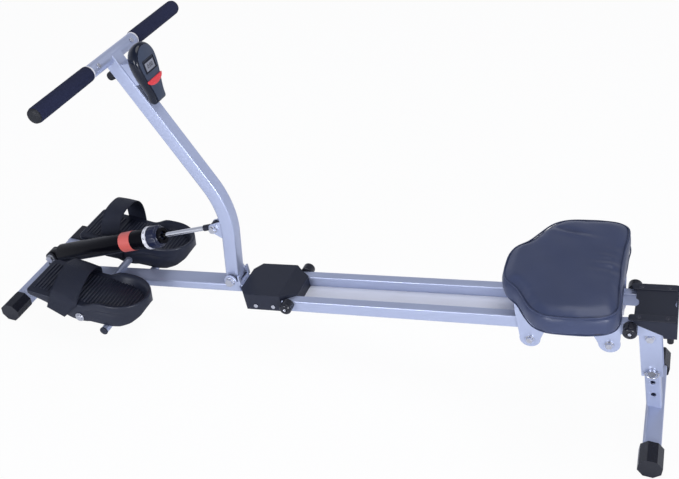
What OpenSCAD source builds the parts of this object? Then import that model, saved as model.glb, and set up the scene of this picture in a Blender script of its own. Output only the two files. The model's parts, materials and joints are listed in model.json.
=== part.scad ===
// Compact rowing machine with a hydraulic cylinder behind a pivoting handlebar post.
// X runs along the machine (feet at -X, seat at +X), Y across it, Z up, floor at Z = 0.
// Lengths in millimetres, angles in degrees.

/* [Overall] */
// Distance between the axes of the front and rear stabilizers
axle_span = 1335; // [1200:5:1500]
// Slope of the rails, rising to the rear
rail_pitch = 10.6; // [8:0.1:13]
// Overall length of each stabilizer, end caps included
stabilizer_len = 310; // [250:5:400]
// Overall length of the handlebar
handle_len = 493; // [400:1:600]

/* [Stabilizers] */
// Side of the square stabilizer tube
foot_tube = 30; // [25:1:36]
// Length of each end cap
cap_len = 48; // [40:1:56]
// Width of the octagonal end cap
cap_w = 42; // [38:1:50]
// Height of the octagonal end cap
cap_h = 40; // [38:1:48]

/* [Beam and rails] */
// Width of the front beam tube
beam_w = 40; // [34:1:44]
// Height of the front beam tube
beam_h = 20; // [18:1:24]
// Width over both seat rails
rail_gauge = 102; // [96:1:112]
// Width of one rail tube
rail_w = 20; // [16:1:22]
// Height of one rail tube
rail_h = 26; // [24:1:32]
// Wall of the steel tubes
tube_wall = 2; // [1.5:0.1:2.5]

/* [Lever] */
// Distance of the lever pivot from the front stabilizer, along the beam
pivot_s = 484; // [460:1:500]
// Height of the lever pivot above the beam's centre plane
pivot_n = 18; // [16:1:20]
// Side of the square handlebar post
post_w = 29; // [26:1:32]
// Height of the handlebar axis above the lever pivot
handle_rise = 463.8; // [400:0.1:520]
// Forward reach of the handlebar axis from the lever pivot
handle_reach = 210; // [170:1:240]
// Lean of the upper post from the vertical
post_lean = 35.4; // [30:0.1:40]
// Radius of the bend on the post's centre line
post_bend_r = 194; // [150:1:220]
// Diameter of the welded handlebar sleeve
sleeve_d = 25.4; // [24:0.1:28]
// Half length of the handlebar sleeve
sleeve_half = 75.6; // [65:0.1:90]
// Diameter of the foam grips
grip_d = 29; // [27:0.5:34]

/* [Cylinder] */
// Distance of the lower cylinder pin behind the front stabilizer
cyl_pin_x = 21.3; // [20:0.1:30]
// Height of the lower cylinder pin above the floor
cyl_pin_z = 71; // [68:0.5:76]
// Forward reach of the upper cylinder pin from the lever pivot
rod_pin_reach = 33.5; // [30:0.5:38]
// Height of the upper cylinder pin above the lever pivot
rod_pin_rise = 117; // [105:1:130]
// Diameter of the cylinder tube
cyl_d = 42; // [36:1:46]
// Length of the cylinder tube from its lower pin
cyl_len = 277; // [220:1:290]
// Diameter of the resistance knob
knob_d = 48.5; // [44:0.5:54]
// Length of the resistance knob
knob_len = 34; // [28:1:40]
// Diameter of the chrome rod
rod_d = 10; // [8:0.5:12]

/* [Pedals] */
// Distance of the pedal axle from the front stabilizer, along the beam
axle_s = 190; // [180:1:205]
// Diameter of the pedal axle and of the rest bar
axle_d = 16; // [14:0.5:18]
// Distance of the rest bar behind the pedal axle
rest_back = 53; // [46:1:60]
// Distance of each pedal's centre line from the middle
pedal_y = 102; // [96:1:112]
// Width of one pedal
pedal_w = 112; // [96:1:116]
// Length of the pedal in front of its axle
pedal_toe = 124; // [110:1:135]
// Length of the pedal behind its axle
pedal_heel = 136; // [125:1:150]
// Width of the strap webbing
strap_w = 50; // [40:1:60]
// Rise of the left strap above the foot plate
strap_rise_left = 74; // [60:1:100]
// Rise of the right strap above the foot plate
strap_rise_right = 52; // [45:1:100]

/* [Seat] */
// Distance of the seat's centre from the front stabilizer, along the rails
seat_s = 1158; // [1000:1:1165]
// Length of the seat pad
seat_len = 212; // [190:1:240]
// Width of the seat pad
seat_w = 300; // [260:1:340]
// Thickness of the seat pad at its edge
seat_edge = 42; // [36:1:52]
// Distance between the carriage's front and rear rollers
roller_base = 139; // [125:1:150]
// Radius of the seat rollers
roller_r = 17.6; // [15:0.1:20]

/* [Leg] */
// Lean of the rear leg, top forwards
leg_lean = 13; // [10:0.5:16]
// Side of the square leg tube
leg_tube = 28; // [25:1:30]
// Spacing of the height holes
hole_pitch = 30; // [26:1:32]

/* [Monitor] */
// Height of the monitor's face
face_h = 115; // [104:1:124]
// Largest width of the monitor's face
face_w = 66; // [60:1:72]
// Lean of the monitor's face, top forwards
face_lean = 15; // [12:0.5:18]

/* [Hidden] */
$fn = 48;

// Clearances
gap = 0.3;          // between pieces on different bodies
fit = 0.1;          // between assembled pieces of one body
run = 0.06;         // radial running clearance of a shaft in its bore

// Frame stations, measured along the rails (s) and square to them (n)
axis_z = cap_h/2;
middle_x = axle_span/2;
rail_top = -2;
rail_base = rail_top - rail_h;
beam_n = -2;
beam_top = beam_n + beam_h/2;
beam_base = beam_n - beam_h/2;
rail_y = rail_gauge/2 - rail_w/2;
gauge_in = rail_gauge - 2*rail_w;
leg_slope = tan(leg_lean);
leg_s = (axle_span - rail_base*(leg_slope*cos(rail_pitch) - sin(rail_pitch)))
  / (cos(rail_pitch) + leg_slope*sin(rail_pitch));
cover_s = pivot_s + 27;
front_cover_len = 124;
rear_cover_s = leg_s - 24;
rear_cover_len = 71;
rail_start = cover_s + 16;
rail_end = rear_cover_s + rear_cover_len - 3;
rail_len = rail_end - rail_start;

function on_rail(s, n) =
  [s*cos(rail_pitch) - n*sin(rail_pitch), axis_z + s*sin(rail_pitch) + n*cos(rail_pitch)];

pivot = on_rail(pivot_s, pivot_n);

// Places everything so that the machine's box is centred on the origin
module machine() translate([-middle_x, 0, 0]) children();
// Carries a piece drawn with X along the rails and Z square to them
module along_rail() machine() translate([0, 0, axis_z]) rotate([0, -rail_pitch, 0]) children();
// Origin at the lever pivot
module at_pivot() machine() translate([pivot[0], 0, pivot[1]]) children();
// Z along the rear leg, origin on the rear stabilizer's axis
module along_leg() machine() translate([axle_span, 0, axis_z]) rotate([0, -leg_lean, 0]) children();

module rounded_rect(w, h, r) {
  square([w - 2*r, h], center = true);
  square([w, h - 2*r], center = true);
  for (i = [-1, 1], j = [-1, 1]) translate([i*(w/2 - r), j*(h/2 - r)]) circle(r);
}
module tube_section(w, h, r, wall) difference() {
  rounded_rect(w, h, r);
  rounded_rect(w - 2*wall, h - 2*wall, max(r - wall, 0.6));
}
// Rod along Y, centred
module y_rod(r, len) rotate([90, 0, 0]) cylinder(r = r, h = len, center = true);
module hex_y(across, h) rotate([90, 0, 0]) cylinder(d = across/cos(30), h = h, center = true, $fn = 6);
function bezier(a, b, c, d, steps) = [for (i = [0:steps - 1]) let (t = i/steps)
  pow(1 - t, 3)*a + 3*t*pow(1 - t, 2)*b + 3*t*t*(1 - t)*c + t*t*t*d];
function mirrored(points) = concat(points,
  [for (i = [len(points) - 1:-1:0]) if (points[i][1] > 0.01) [points[i][0], -points[i][1]]]);

// ---------- Stabilizers ----------
cap_end = 5;
cap_chamfer = 12;
foot_tube_len = stabilizer_len - 2*cap_end;

module foot_tube_solid() rotate([90, 0, 0])
  linear_extrude(foot_tube_len, center = true) tube_section(foot_tube, foot_tube, 3, tube_wall);
module front_stabilizer() color("silver") machine() translate([0, 0, axis_z]) foot_tube_solid();
module rear_stabilizer() color("silver") machine() translate([axle_span, 0, axis_z]) foot_tube_solid();

function octagon(w, h, c) = [[-w/2 + c, -h/2], [w/2 - c, -h/2], [w/2, -h/2 + c], [w/2, h/2 - c],
  [w/2 - c, h/2], [-w/2 + c, h/2], [-w/2, h/2 - c], [-w/2, -h/2 + c]];
module end_cap() difference() {
  rotate([90, 0, 0]) linear_extrude(cap_len) polygon(octagon(cap_w, cap_h, cap_chamfer));
  translate([0, cap_end - cap_len, 0]) rotate([-90, 0, 0])
    linear_extrude(cap_len) rounded_rect(foot_tube + 2*fit, foot_tube + 2*fit, 3);
}
module stabilizer_end_caps() color("black") machine() for (x = [0, axle_span])
  translate([x, 0, axis_z]) {
    translate([0, -stabilizer_len/2 + cap_len, 0]) end_cap();
    translate([0, stabilizer_len/2 - cap_len, 0]) mirror([0, 1, 0]) end_cap();
  }

// ---------- Front beam ----------
beam_end = cover_s + 70;
axle_n = 8;
rest_s = axle_s + rest_back;
rest_n = beam_base - axle_d/2;
axle_half = pedal_y + pedal_w/2 - 1;
rest_half = axle_half + 6;
bolt_d = 8;
joint_bolt_s = [beam_end - 42, beam_end - 16];

module main_beam() color("silver") difference() {
  along_rail() translate([0, 0, beam_n]) rotate([90, 0, 90])
    linear_extrude(beam_end) tube_section(beam_w, beam_h, 5, tube_wall);
  machine() translate([foot_tube/2 - 200, -100, -100]) cube([200, 200, 300]);
  along_rail() {
    translate([axle_s, 0, axle_n]) y_rod(axle_d/2 + fit, 2*beam_w);
    for (s = joint_bolt_s) translate([s, 0, 0]) cylinder(d = bolt_d + 2*fit, h = 60, center = true);
  }
  at_pivot() y_rod(post_w/2 + 1.5, 2*beam_w);
}

// ---------- Lower cylinder mount ----------
cyl_eye_w = 20;
bracket_t = 3;
cyl_bolt_d = 10;
module bolt_y(d, grip, head) {
  y_rod(d/2, grip + 4);
  for (side = [-1, 1]) translate([0, side*(grip/2 + 1), 0]) y_rod(head/2 + 2, 2);
  translate([0, -grip/2 - 5, 0]) hex_y(head, 6);
  translate([0, grip/2 + 5, 0]) hex_y(head, 6);
}
module cylinder_bracket() color("dimgray") {
  difference() {
    machine() for (side = [-1, 1])
      translate([0, side*(cyl_eye_w/2 + gap + bracket_t/2), 0]) rotate([90, 0, 0])
        linear_extrude(bracket_t, center = true) difference() {
          union() {
            translate([cyl_pin_x, cyl_pin_z]) circle(13);
            polygon([[foot_tube/2, 32], [foot_tube/2 + 32, 32], [cyl_pin_x + 12, cyl_pin_z - 4],
              [cyl_pin_x - 12, cyl_pin_z - 4]]);
          }
          translate([cyl_pin_x, cyl_pin_z]) circle(cyl_bolt_d/2 + fit);
        }
    along_rail() translate([-100, -100, beam_top - 200]) cube([300, 200, 200]);
    machine() translate([foot_tube/2 - 200, -100, axis_z - foot_tube]) cube([200, 200, 1.5*foot_tube]);
  }
}
module cylinder_lower_bolt() color("silver") machine() translate([cyl_pin_x, 0, cyl_pin_z])
  bolt_y(cyl_bolt_d, cyl_eye_w + 2*gap + 2*bracket_t, 15);

// ---------- Pedal supports ----------
module pedal_axle() color("silver") along_rail() translate([axle_s, 0, axle_n]) difference() {
  y_rod(axle_d/2, 2*axle_half);
  y_rod(axle_d/2 - tube_wall, 3*axle_half);
}
module pedal_bolts() color("silver") along_rail() for (side = [-1, 1])
  translate([axle_s, side*(pedal_y + pedal_w/2 + gap), axle_n]) {
    translate([0, side, 0]) y_rod(axle_d/2 + 2, 2);
    translate([0, side*3.5, 0]) y_rod(axle_d/2 - 1, 3);
    translate([0, -side*9, 0]) y_rod(axle_d/2 - tube_wall - fit, 20);
  }
module pedal_rest_bar() color("silver") along_rail() translate([rest_s, 0, rest_n]) difference() {
  y_rod(axle_d/2, 2*rest_half);
  y_rod(axle_d/2 - tube_wall, 3*rest_half);
}
module rest_bar_plugs() color("black") along_rail() for (side = [-1, 1])
  translate([rest_s, side*rest_half, rest_n]) {
    translate([0, side*1.5, 0]) y_rod(axle_d/2 + 0.8, 3);
    translate([0, -side*6, 0]) y_rod(axle_d/2 - tube_wall - fit, 12);
  }

// ---------- Lever pivot ----------
ear_t = 4;
ear_in = beam_w/2;
ear_r = 14;
lever_bolt_d = 10;
web_s = pivot_s + post_w/2 + 3.5;
web_rise = 22;
web_low = 3.5;
web_gap = 1.5;
bush_len = ear_in - post_w/2 - gap;

module pivot_bracket() color("gainsboro") along_rail() difference() {
  union() {
    for (side = [-1, 1]) translate([0, side*(ear_in + ear_t/2), 0]) rotate([90, 0, 0])
      linear_extrude(ear_t, center = true) {
        translate([pivot_s, pivot_n]) circle(ear_r);
        translate([pivot_s - ear_r, beam_base + 6]) square([web_s - pivot_s + ear_r, pivot_n - beam_base - 6]);
      }
    translate([web_s, -ear_in - ear_t, beam_top]) cube([ear_t, 2*(ear_in + ear_t), web_rise]);
  }
  // Gap in the web that lets the post swing back
  translate([web_s - 1, -post_w/2 - web_gap, beam_top + web_low]) cube([ear_t + 2, post_w + 2*web_gap, web_rise]);
  translate([pivot_s, 0, pivot_n]) y_rod(lever_bolt_d/2 + fit, 100);
}
module lever_bolt() color("silver") at_pivot() bolt_y(lever_bolt_d, 2*(ear_in + ear_t), 16);
module lever_bushes() color("black") at_pivot() for (side = [-1, 1])
  translate([0, side*(post_w/2 + bush_len/2), 0]) difference() {
    y_rod(10, bush_len);
    y_rod(lever_bolt_d/2 + run, 100);
  }

// ---------- Joint under the front cover ----------
module joint_channel() color("dimgray") along_rail() difference() {
  translate([rail_start + 4, -gauge_in/2, rail_base]) cube([94, gauge_in, beam_base - rail_base]);
  translate([rail_start, -gauge_in/2 + 3, rail_base - 1]) cube([120, gauge_in - 6, beam_base - rail_base - 2]);
  for (s = joint_bolt_s) translate([s, 0, 0]) cylinder(d = bolt_d + 2*fit, h = 60, center = true);
}
module frame_bolts() color("silver") {
  along_rail() for (s = joint_bolt_s) translate([s, 0, 0]) {
    translate([0, 0, beam_base - 8]) cylinder(d = bolt_d, h = beam_h + 8);
    translate([0, 0, beam_base - 9]) cylinder(d = 13/cos(30), h = 6, $fn = 6);
  }
  along_leg() translate([0, 0, bracket_bolt_z]) bolt_y(bolt_d, leg_out, 13);
}

// ---------- Rails ----------
module seat_rails() color("lightsteelblue") along_rail() for (side = [-1, 1])
  translate([rail_start, side*rail_y, rail_top - rail_h/2]) rotate([90, 0, 90])
    linear_extrude(rail_len) tube_section(rail_w, rail_h, 2.5, 1.6);
plate_s = rail_start + 104;
plate_len = seat_s - 40 - plate_s;
module rail_floor_plate() color("lavender") along_rail()
  translate([plate_s, -gauge_in/2, rail_base + 2]) cube([plate_len, gauge_in, 2]);

// ---------- Covers ----------
cover_wall = 2.2;
cover_half = rail_gauge/2 + gap + cover_wall;
cover_top = beam_top + gap + cover_wall;
skirt_n = rail_base + 1;
nose_half = 33;
nose_cut = 14;
cover_slope_len = 32;
cover_screw_s = [cover_s + 36, cover_s + 75];

function front_outline(inset) = let (w = cover_half - inset, r = nose_half - inset/2)
  [[cover_s + inset, -r], [cover_s + nose_cut + inset/2, -w], [cover_s + front_cover_len - 30, -w],
   [cover_s + front_cover_len - 16, -w + 12], [cover_s + front_cover_len - inset, -w + 22],
   [cover_s + front_cover_len - inset, w - 22], [cover_s + front_cover_len - 16, w - 12],
   [cover_s + front_cover_len - 30, w], [cover_s + nose_cut + inset/2, w], [cover_s + inset, r]];

// Everything above the sloping rear of the cover, moved up by lift
module cover_slope(lift) translate([cover_s + front_cover_len - cover_slope_len, -100, cover_top + lift])
  rotate([0, 17, 0]) cube([60, 200, 20]);
module front_cover() color("#22252e") along_rail() difference() {
  translate([0, 0, skirt_n]) linear_extrude(cover_top - skirt_n) polygon(front_outline(0));
  difference() {
    translate([0, 0, skirt_n - 1]) linear_extrude(cover_top - cover_wall - skirt_n + 1)
      polygon(front_outline(cover_wall));
    cover_slope(-cover_wall);
  }
  // Passage for the beam at the nose
  translate([cover_s - 5, -ear_in - ear_t - 1, skirt_n - 1]) cube([30, 2*(ear_in + ear_t + 1), beam_top + gap - skirt_n + 1]);
  // The rear end opens round the rails and slopes down between them
  translate([cover_s + front_cover_len - 30, -100, skirt_n - 1]) cube([40, 200, rail_top + gap - skirt_n + 1]);
  cover_slope(0);
  // The skirts lean back at the front and step up behind the second screw
  translate([cover_s + nose_cut, -100, skirt_n - 1]) rotate([0, -14, 0]) translate([-30, 0, -5])
    cube([30, 200, rail_top - skirt_n - 2]);
  for (s = cover_screw_s, side = [-1, 1]) translate([s, side*cover_half, rail_top - 15]) y_rod(2.6, 12);
}

rear_half = cover_half;
rear_top = rail_top + 9;
bay_r = 14;
rear_screw_at = [for (i = [8, rear_cover_len - 16], side = [-1, 1]) [rear_cover_s + i, side*43]];
module rear_cover() color("#22252e") along_rail() difference() {
  translate([rear_cover_s, 0, 0]) rotate([90, 0, 0]) linear_extrude(2*rear_half, center = true)
    polygon([[0, rear_top], [rear_cover_len, rear_top], [rear_cover_len, rail_base],
      [rear_cover_len - 22, rail_base], [rear_cover_len - 23, rail_base + 6], [2, rail_top + 2], [0, rail_top + 2]]);
  // Inside, around the rail ends
  translate([rear_cover_s - 1, -rear_half + cover_wall, rail_base - 1])
    cube([rear_cover_len - 1.5, 2*(rear_half - cover_wall), rear_top - rail_base - cover_wall + 1]);
  // Rounded bays in the top, front and rear
  translate([rear_cover_s - bay_r/2, 0, rear_top]) cylinder(r = bay_r, h = 12, center = true);
  translate([rear_cover_s + rear_cover_len + bay_r/1.6, 0, rear_top]) cylinder(r = bay_r, h = 12, center = true);
  for (p = rear_screw_at) translate([p[0], p[1], rear_top]) cylinder(d = 5, h = 12, center = true);
  // Round the rear bumpers
  for (side = [-1, 1]) translate([rear_bumper_s, side*(rail_gauge/2 + bumper_len/2), bumper_n])
    y_rod(bumper_d/2 + fit, bumper_len);
}
module cover_screws() color("silver") along_rail() {
  for (s = cover_screw_s, side = [-1, 1]) translate([s, side*(cover_half + 0.9), rail_top - 15]) {
    y_rod(4.4, 1.8);
    translate([0, -side*(0.9 + (gap + cover_wall)/2), 0]) y_rod(2.4, gap + cover_wall);
  }
  for (p = rear_screw_at) translate([p[0], p[1], rear_top]) {
    cylinder(d = 8, h = 1.6);
    translate([0, 0, rail_top - rear_top]) cylinder(d = 4.6, h = rear_top - rail_top + 0.5);
  }
}

// ---------- Bumpers ----------
bumper_d = 25;
bumper_len = 22;
bumper_n = rail_top - 6;
front_bumper_s = cover_s + 110;
rear_bumper_s = rear_cover_s - 5;
module rail_bumpers() color("#1b1c20") along_rail() for (s = [front_bumper_s, rear_bumper_s], side = [-1, 1])
  translate([s, side*rail_gauge/2, bumper_n]) rotate([-side*90, 0, 0]) rotate_extrude()
    polygon([[0, 0], [bumper_d/2, 0], [bumper_d/2, bumper_len - 3], [bumper_d/2 - 3, bumper_len],
      [5, bumper_len], [4.4, bumper_len - 2], [0, bumper_len - 2]]);

// ---------- Rear end ----------
bracket_half = leg_tube/2 + fit;
leg_plate_t = 2.6;
leg_out = 2*(bracket_half + leg_plate_t);
bracket_bolt_z = (202 - axis_z)/cos(leg_lean);
lock_z = (124 - axis_z)/cos(leg_lean);
leg_bracket_low = lock_z - 12;
pin_d = 9;
cross_n = rail_base;

module rear_crossmember() color("silver") along_rail() difference() {
  translate([leg_s - 20, -gauge_in/2, cross_n]) cube([50, gauge_in, 20]);
  translate([leg_s - 21, -gauge_in/2 + 3, cross_n + 3]) cube([52, gauge_in - 6, 14]);
}
// Half space below the crossmember
module below_rails() along_rail() translate([leg_s - 150, -100, cross_n - 400]) cube([300, 200, 400]);
module leg_bracket() color("#c3d0ee") intersection() {
  along_leg() difference() {
    translate([-19, -leg_out/2, leg_bracket_low]) cube([38, leg_out, 300]);
    translate([-19 + leg_plate_t, -bracket_half, leg_bracket_low - 1]) cube([60, 2*bracket_half, 302]);
    for (z = [bracket_bolt_z, lock_z]) translate([0, 0, z])
      y_rod((z == lock_z ? pin_d : bolt_d)/2 + fit, 100);
  }
  below_rails();
}
module leg_post() color("#c3d0ee") difference() {
  intersection() {
    along_leg() linear_extrude(300) tube_section(leg_tube, leg_tube, 3, tube_wall);
    below_rails();
  }
  along_leg() for (z = [bracket_bolt_z, lock_z, lock_z - hole_pitch, lock_z - 2*hole_pitch])
    translate([0, 0, z]) y_rod((z == bracket_bolt_z ? bolt_d : pin_d)/2 + fit, 100);
  machine() translate([axle_span - 100, -100, -100]) cube([200, 200, 100 + axis_z + foot_tube/2]);
}
module storage_feet() color("#1b1c20") along_rail() for (side = [-1, 1])
  translate([rail_end - 8, side*rail_y, rail_base - 18]) cylinder(d1 = 11, d2 = 12, h = 18);

// ---------- Locking pin ----------
pin_head = 8;
module lock_pin() color("silver") along_leg() translate([0, 0, lock_z]) difference() {
  union() {
    y_rod(pin_d/2, leg_out + 6);
    translate([0, -leg_out/2 - gap - pin_head/2, 0]) y_rod(7, pin_head);
  }
  translate([0, -leg_out/2 - gap - pin_head/2 - 1, 0]) rotate([0, 90, 0]) cylinder(r = ring_wire + run, h = 40, center = true);
}
ring_r = 12;
ring_wire = 1.4;
module pin_ring() color("silver") along_leg() translate([0, -leg_out/2 - gap - pin_head/2 - 1, lock_z]) {
  rotate([0, 90, 0]) cylinder(r = ring_wire, h = 2*(ring_r + ring_wire), center = true);
  difference() {
    rotate([90, 0, 0]) rotate_extrude() translate([ring_r, 0]) circle(ring_wire, $fn = 24);
    translate([0, 0, 2*ring_r]) cube(4*ring_r, center = true);
  }
}

// ---------- Handlebar post ----------
drop = post_bend_r*tan(post_lean/2);
vertex_z = handle_rise - handle_reach/tan(post_lean);

bend_steps = 16;
// One edge of the bent tube's side view, from the bend to the handle, as [x, z]
function post_edge(off) = concat(
  [for (i = [0:bend_steps]) let (a = post_lean*i/bend_steps)
    [-post_bend_r, vertex_z - drop] + (post_bend_r + off)*[cos(a), sin(a)]],
  [[-handle_reach, handle_rise] + off*[cos(post_lean), sin(post_lean)]]);
module post_side_view(w, foot) polygon(concat(foot, post_edge(w/2),
  [for (i = [bend_steps + 1:-1:0]) post_edge(-w/2)[i]]));
post_foot = [for (a = [180:7.5:360]) post_w/2*[cos(a), sin(a)]];
post_cavity = post_w - 2*tube_wall;
cavity_foot = [[-post_cavity/2, post_w/2 + tube_wall], [post_cavity/2, post_w/2 + tube_wall]];
module handlebar_post() color("#c3d0ee") at_pivot() difference() {
  rotate([90, 0, 0]) linear_extrude(post_w, center = true) post_side_view(post_w, post_foot);
  rotate([90, 0, 0]) linear_extrude(post_cavity, center = true) post_side_view(post_cavity, cavity_foot);
  y_rod(lever_bolt_d/2 + run, 100);
  translate([-handle_reach, 0, handle_rise]) y_rod(sleeve_d/2 + fit/2, 100);
}

// ---------- Upper cylinder mount ----------
rod_pin = [-rod_pin_reach, rod_pin_rise];
rod_eye_w = 15;
rod_bolt_d = 8;
module cylinder_ears() color("#c3d0ee") at_pivot() for (side = [-1, 1])
  translate([0, side*(rod_eye_w/2 + gap + 1.5), 0]) rotate([90, 0, 0]) linear_extrude(3, center = true)
    difference() {
      union() {
        translate(rod_pin) circle(10.5);
        polygon([rod_pin + [-2, 10.3], [-post_w/2, rod_pin_rise + 22], [-post_w/2, rod_pin_rise - 20],
          rod_pin + [-4, -9.7]]);
      }
      translate(rod_pin) circle(rod_bolt_d/2 + fit);
      post_side_view(post_w, post_foot);
    }
module cylinder_upper_bolt() color("silver") at_pivot() translate([rod_pin[0], 0, rod_pin[1]])
  bolt_y(rod_bolt_d, rod_eye_w + 2*gap + 6, 13);

// ---------- Handlebar ----------
module at_handle() at_pivot() translate([-handle_reach, 0, handle_rise]) children();
tube_d = 22;
tube_inner = 18;
collar_w = 4;
grip_end = handle_len/2 - 4;
grip_start = sleeve_half + collar_w;
screw_y = 58;

module handlebar_sleeve() color("silver") at_handle() difference() {
  y_rod(sleeve_d/2, 2*sleeve_half);
  y_rod(tube_d/2 + fit/2, 300);
  rotate([0, 90 - post_lean, 0]) for (side = [-1, 1]) translate([0, side*screw_y, 0]) cylinder(d = 5.2, h = 40);
}
module handle_tubes() color("gray") at_handle() for (side = [-1, 1])
  translate([0, side*(grip_end + 20)/2, 0]) difference() {
    y_rod(tube_d/2, grip_end - 20);
    y_rod(tube_inner/2, grip_end);
    rotate([0, 90 - post_lean, 0]) translate([0, side*(screw_y - (grip_end + 20)/2), 0]) cylinder(d = 5.2, h = 40);
  }
module handle_collars() color("white") at_handle() for (side = [-1, 1])
  translate([0, side*(sleeve_half + collar_w/2), 0]) difference() {
    y_rod(sleeve_d/2 + 0.8, collar_w);
    y_rod(tube_d/2 + fit/2, 20);
  }
module foam_grips() color("#23242c") at_handle() for (side = [-1, 1])
  translate([0, side*(grip_start + grip_end)/2, 0]) difference() {
    y_rod(grip_d/2, grip_end - grip_start);
    y_rod(tube_d/2 + fit/2, 300);
  }
module grip_end_caps() color("#17181c") at_handle() for (side = [-1, 1])
  translate([0, side*grip_end, 0]) rotate([-side*90, 0, 0]) rotate_extrude()
    polygon([[0, -14], [tube_inner/2 - fit, -14], [tube_inner/2 - fit, 0], [grip_d/2, 0], [grip_d/2, 1.5],
      [grip_d/2 - 3, 4], [0, 4]]);
module sleeve_screws() color("silver") at_handle() rotate([0, 90 - post_lean, 0]) for (side = [-1, 1])
  translate([0, side*screw_y, 0]) {
    translate([0, 0, sleeve_d/2]) cylinder(d = 9, h = 2);
    translate([0, 0, 6.5]) cylinder(d = 5, h = sleeve_d/2 - 6.5);
  }
module post_buffer() color("#17181c") at_handle() rotate([0, -post_lean, 0]) translate([-post_w/2, 0, -30])
  rotate([0, -90, 0]) cylinder(d1 = 20, d2 = 16, h = 20);

// ---------- Monitor ----------
face_at = [-127.5, 443.5];
face_front = 3;
shell_depth = 28;
face_top_r = face_w/2;
face_low_half = 19;
button_z = -9;
button_w = 50;
button_h = 13;
lcd_z = 15;
lcd_w = 36;
lcd_h = 21;

module at_monitor() at_pivot() translate([face_at[0], 0, face_at[1]]) rotate([0, -face_lean, 0]) children();
// Teardrop outline in the face's own plane, Y across and Z up, as [y, z]
function face_outline(inset) = let (r = face_top_r - inset, low = -face_h/2 + inset, c = face_h/2 - face_top_r)
  concat([for (a = [0:12:180]) [r*cos(a), c + r*sin(a)]],
    bezier([-r, c], [-r, c - 30], [-face_low_half + inset, low + 26], [-face_low_half + inset, low + 7], 6),
    bezier([-face_low_half + inset, low + 7], [-face_low_half + inset, low], [-face_low_half + inset, low],
      [-face_low_half + inset + 7, low], 4),
    bezier([face_low_half - inset - 7, low], [face_low_half - inset, low], [face_low_half - inset, low],
      [face_low_half - inset, low + 7], 4),
    bezier([face_low_half - inset, low + 7], [face_low_half - inset, low + 26], [r, c - 30], [r, c], 6));
module face_plate(x0, depth, inset) translate([x0, 0, 0]) rotate([90, 0, 90]) linear_extrude(depth)
  polygon(face_outline(inset));
// Crescent of the button: straight top edge, round lower edge
function crescent(shrink) = let (w = button_w/2 - shrink, h = button_h - 2*shrink)
  [for (a = [180:12:360]) [w*cos(a), button_z - shrink + h*sin(a)]];
// Solid that fills the space in front of the post's rear face
module post_side() at_handle() rotate([0, -post_lean, 0]) translate([-100 + post_w/2, -60, -300]) cube([100, 120, 400]);

module monitor_housing() color("#14161d") difference() {
  at_monitor() difference() {
    hull() {
      face_plate(-14, 14 - face_front, 0);
      face_plate(-shell_depth, 1, 8);
    }
    face_plate(-shell_depth + 8, shell_depth, 2);
  }
  post_side();
}
module monitor_face() color("#2e3540") at_monitor() difference() {
  face_plate(-face_front, face_front, 0);
  translate([-2, -lcd_w/2, lcd_z - lcd_h/2]) cube([4, lcd_w, lcd_h]);
  translate([-10, 0, 0]) rotate([90, 0, 90]) linear_extrude(20) polygon(crescent(0));
}
module monitor_display() color("#7d8088") at_monitor()
  translate([-2, -lcd_w/2 + 1, lcd_z - lcd_h/2 + 1]) cube([0.8, lcd_w - 2, lcd_h - 2]);
module monitor_button() color("#d8262c") at_monitor() translate([-7, 0, 0]) rotate([90, 0, 90])
  linear_extrude(9) polygon(crescent(0.8));
module monitor_bracket() color("#c3d0ee") difference() {
  at_monitor() translate([-90, -13, -18]) cube([90 - shell_depth, 26, 44]);
  post_side();
}

// ---------- Hydraulic cylinder ----------
rod_pin_at = [pivot[0] + rod_pin[0], pivot[1] + rod_pin[1]];
cyl_reach = norm(rod_pin_at - [cyl_pin_x, cyl_pin_z]);
cyl_angle = atan2(rod_pin_at[1] - cyl_pin_z, rod_pin_at[0] - cyl_pin_x);
cyl_bore = 20;
neck_d = 30;
knob_s = cyl_len + gap;
hub_s = knob_s + knob_len + gap;
rod_inside = 136;
eye_shank = 28;
module along_cylinder() machine() translate([cyl_pin_x, 0, cyl_pin_z]) rotate([0, 90 - cyl_angle, 0]) children();

module cylinder_body() color("#101115") along_cylinder() difference() {
  union() {
    y_rod(13, cyl_eye_w);
    cylinder(d = 18, h = 30);
    translate([0, 0, 20]) cylinder(d1 = 30, d2 = cyl_d, h = 8);
    translate([0, 0, 28]) cylinder(d = cyl_d, h = cyl_len - 28);
    cylinder(d = neck_d, h = hub_s + 1);
    translate([0, 0, hub_s]) cylinder(d = neck_d + 4, h = 5);
  }
  translate([0, 0, -20]) difference() {
    cylinder(d = 100, h = 38);
    translate([0, 0, 5]) cube([27, cyl_eye_w, 80], center = true);
  }
  translate([0, 0, 80]) cylinder(d = cyl_bore, h = 400);
  y_rod(cyl_bolt_d/2 + run, 100);
}
module cylinder_band() color("#d6453d") along_cylinder() translate([0, 0, cyl_len - 68]) difference() {
  cylinder(d = cyl_d + 0.8, h = 30);
  translate([0, 0, -1]) cylinder(d = cyl_d, h = 40);
}
module resistance_knob() color("#1c2030") along_cylinder() translate([0, 0, knob_s]) difference() {
  cylinder(d = knob_d, h = knob_len);
  translate([0, 0, -1]) cylinder(d = neck_d + 2*run, h = knob_len + 2);
  translate([0, 0, -1]) difference() {
    cylinder(d = knob_d + 2, h = 10);
    cylinder(d = knob_d - 3, h = 10);
  }
  translate([0, 0, knob_len - 3]) difference() {
    cylinder(d = knob_d + 4, h = 4);
    cylinder(d1 = knob_d, d2 = knob_d - 6, h = 3);
  }
}
module number_ring() color("white") along_cylinder() translate([0, 0, knob_s + 0.2]) difference() {
  cylinder(d = knob_d + 0.6, h = 8.6);
  translate([0, 0, -1]) cylinder(d = knob_d - 3 + fit, h = 20);
}
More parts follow.
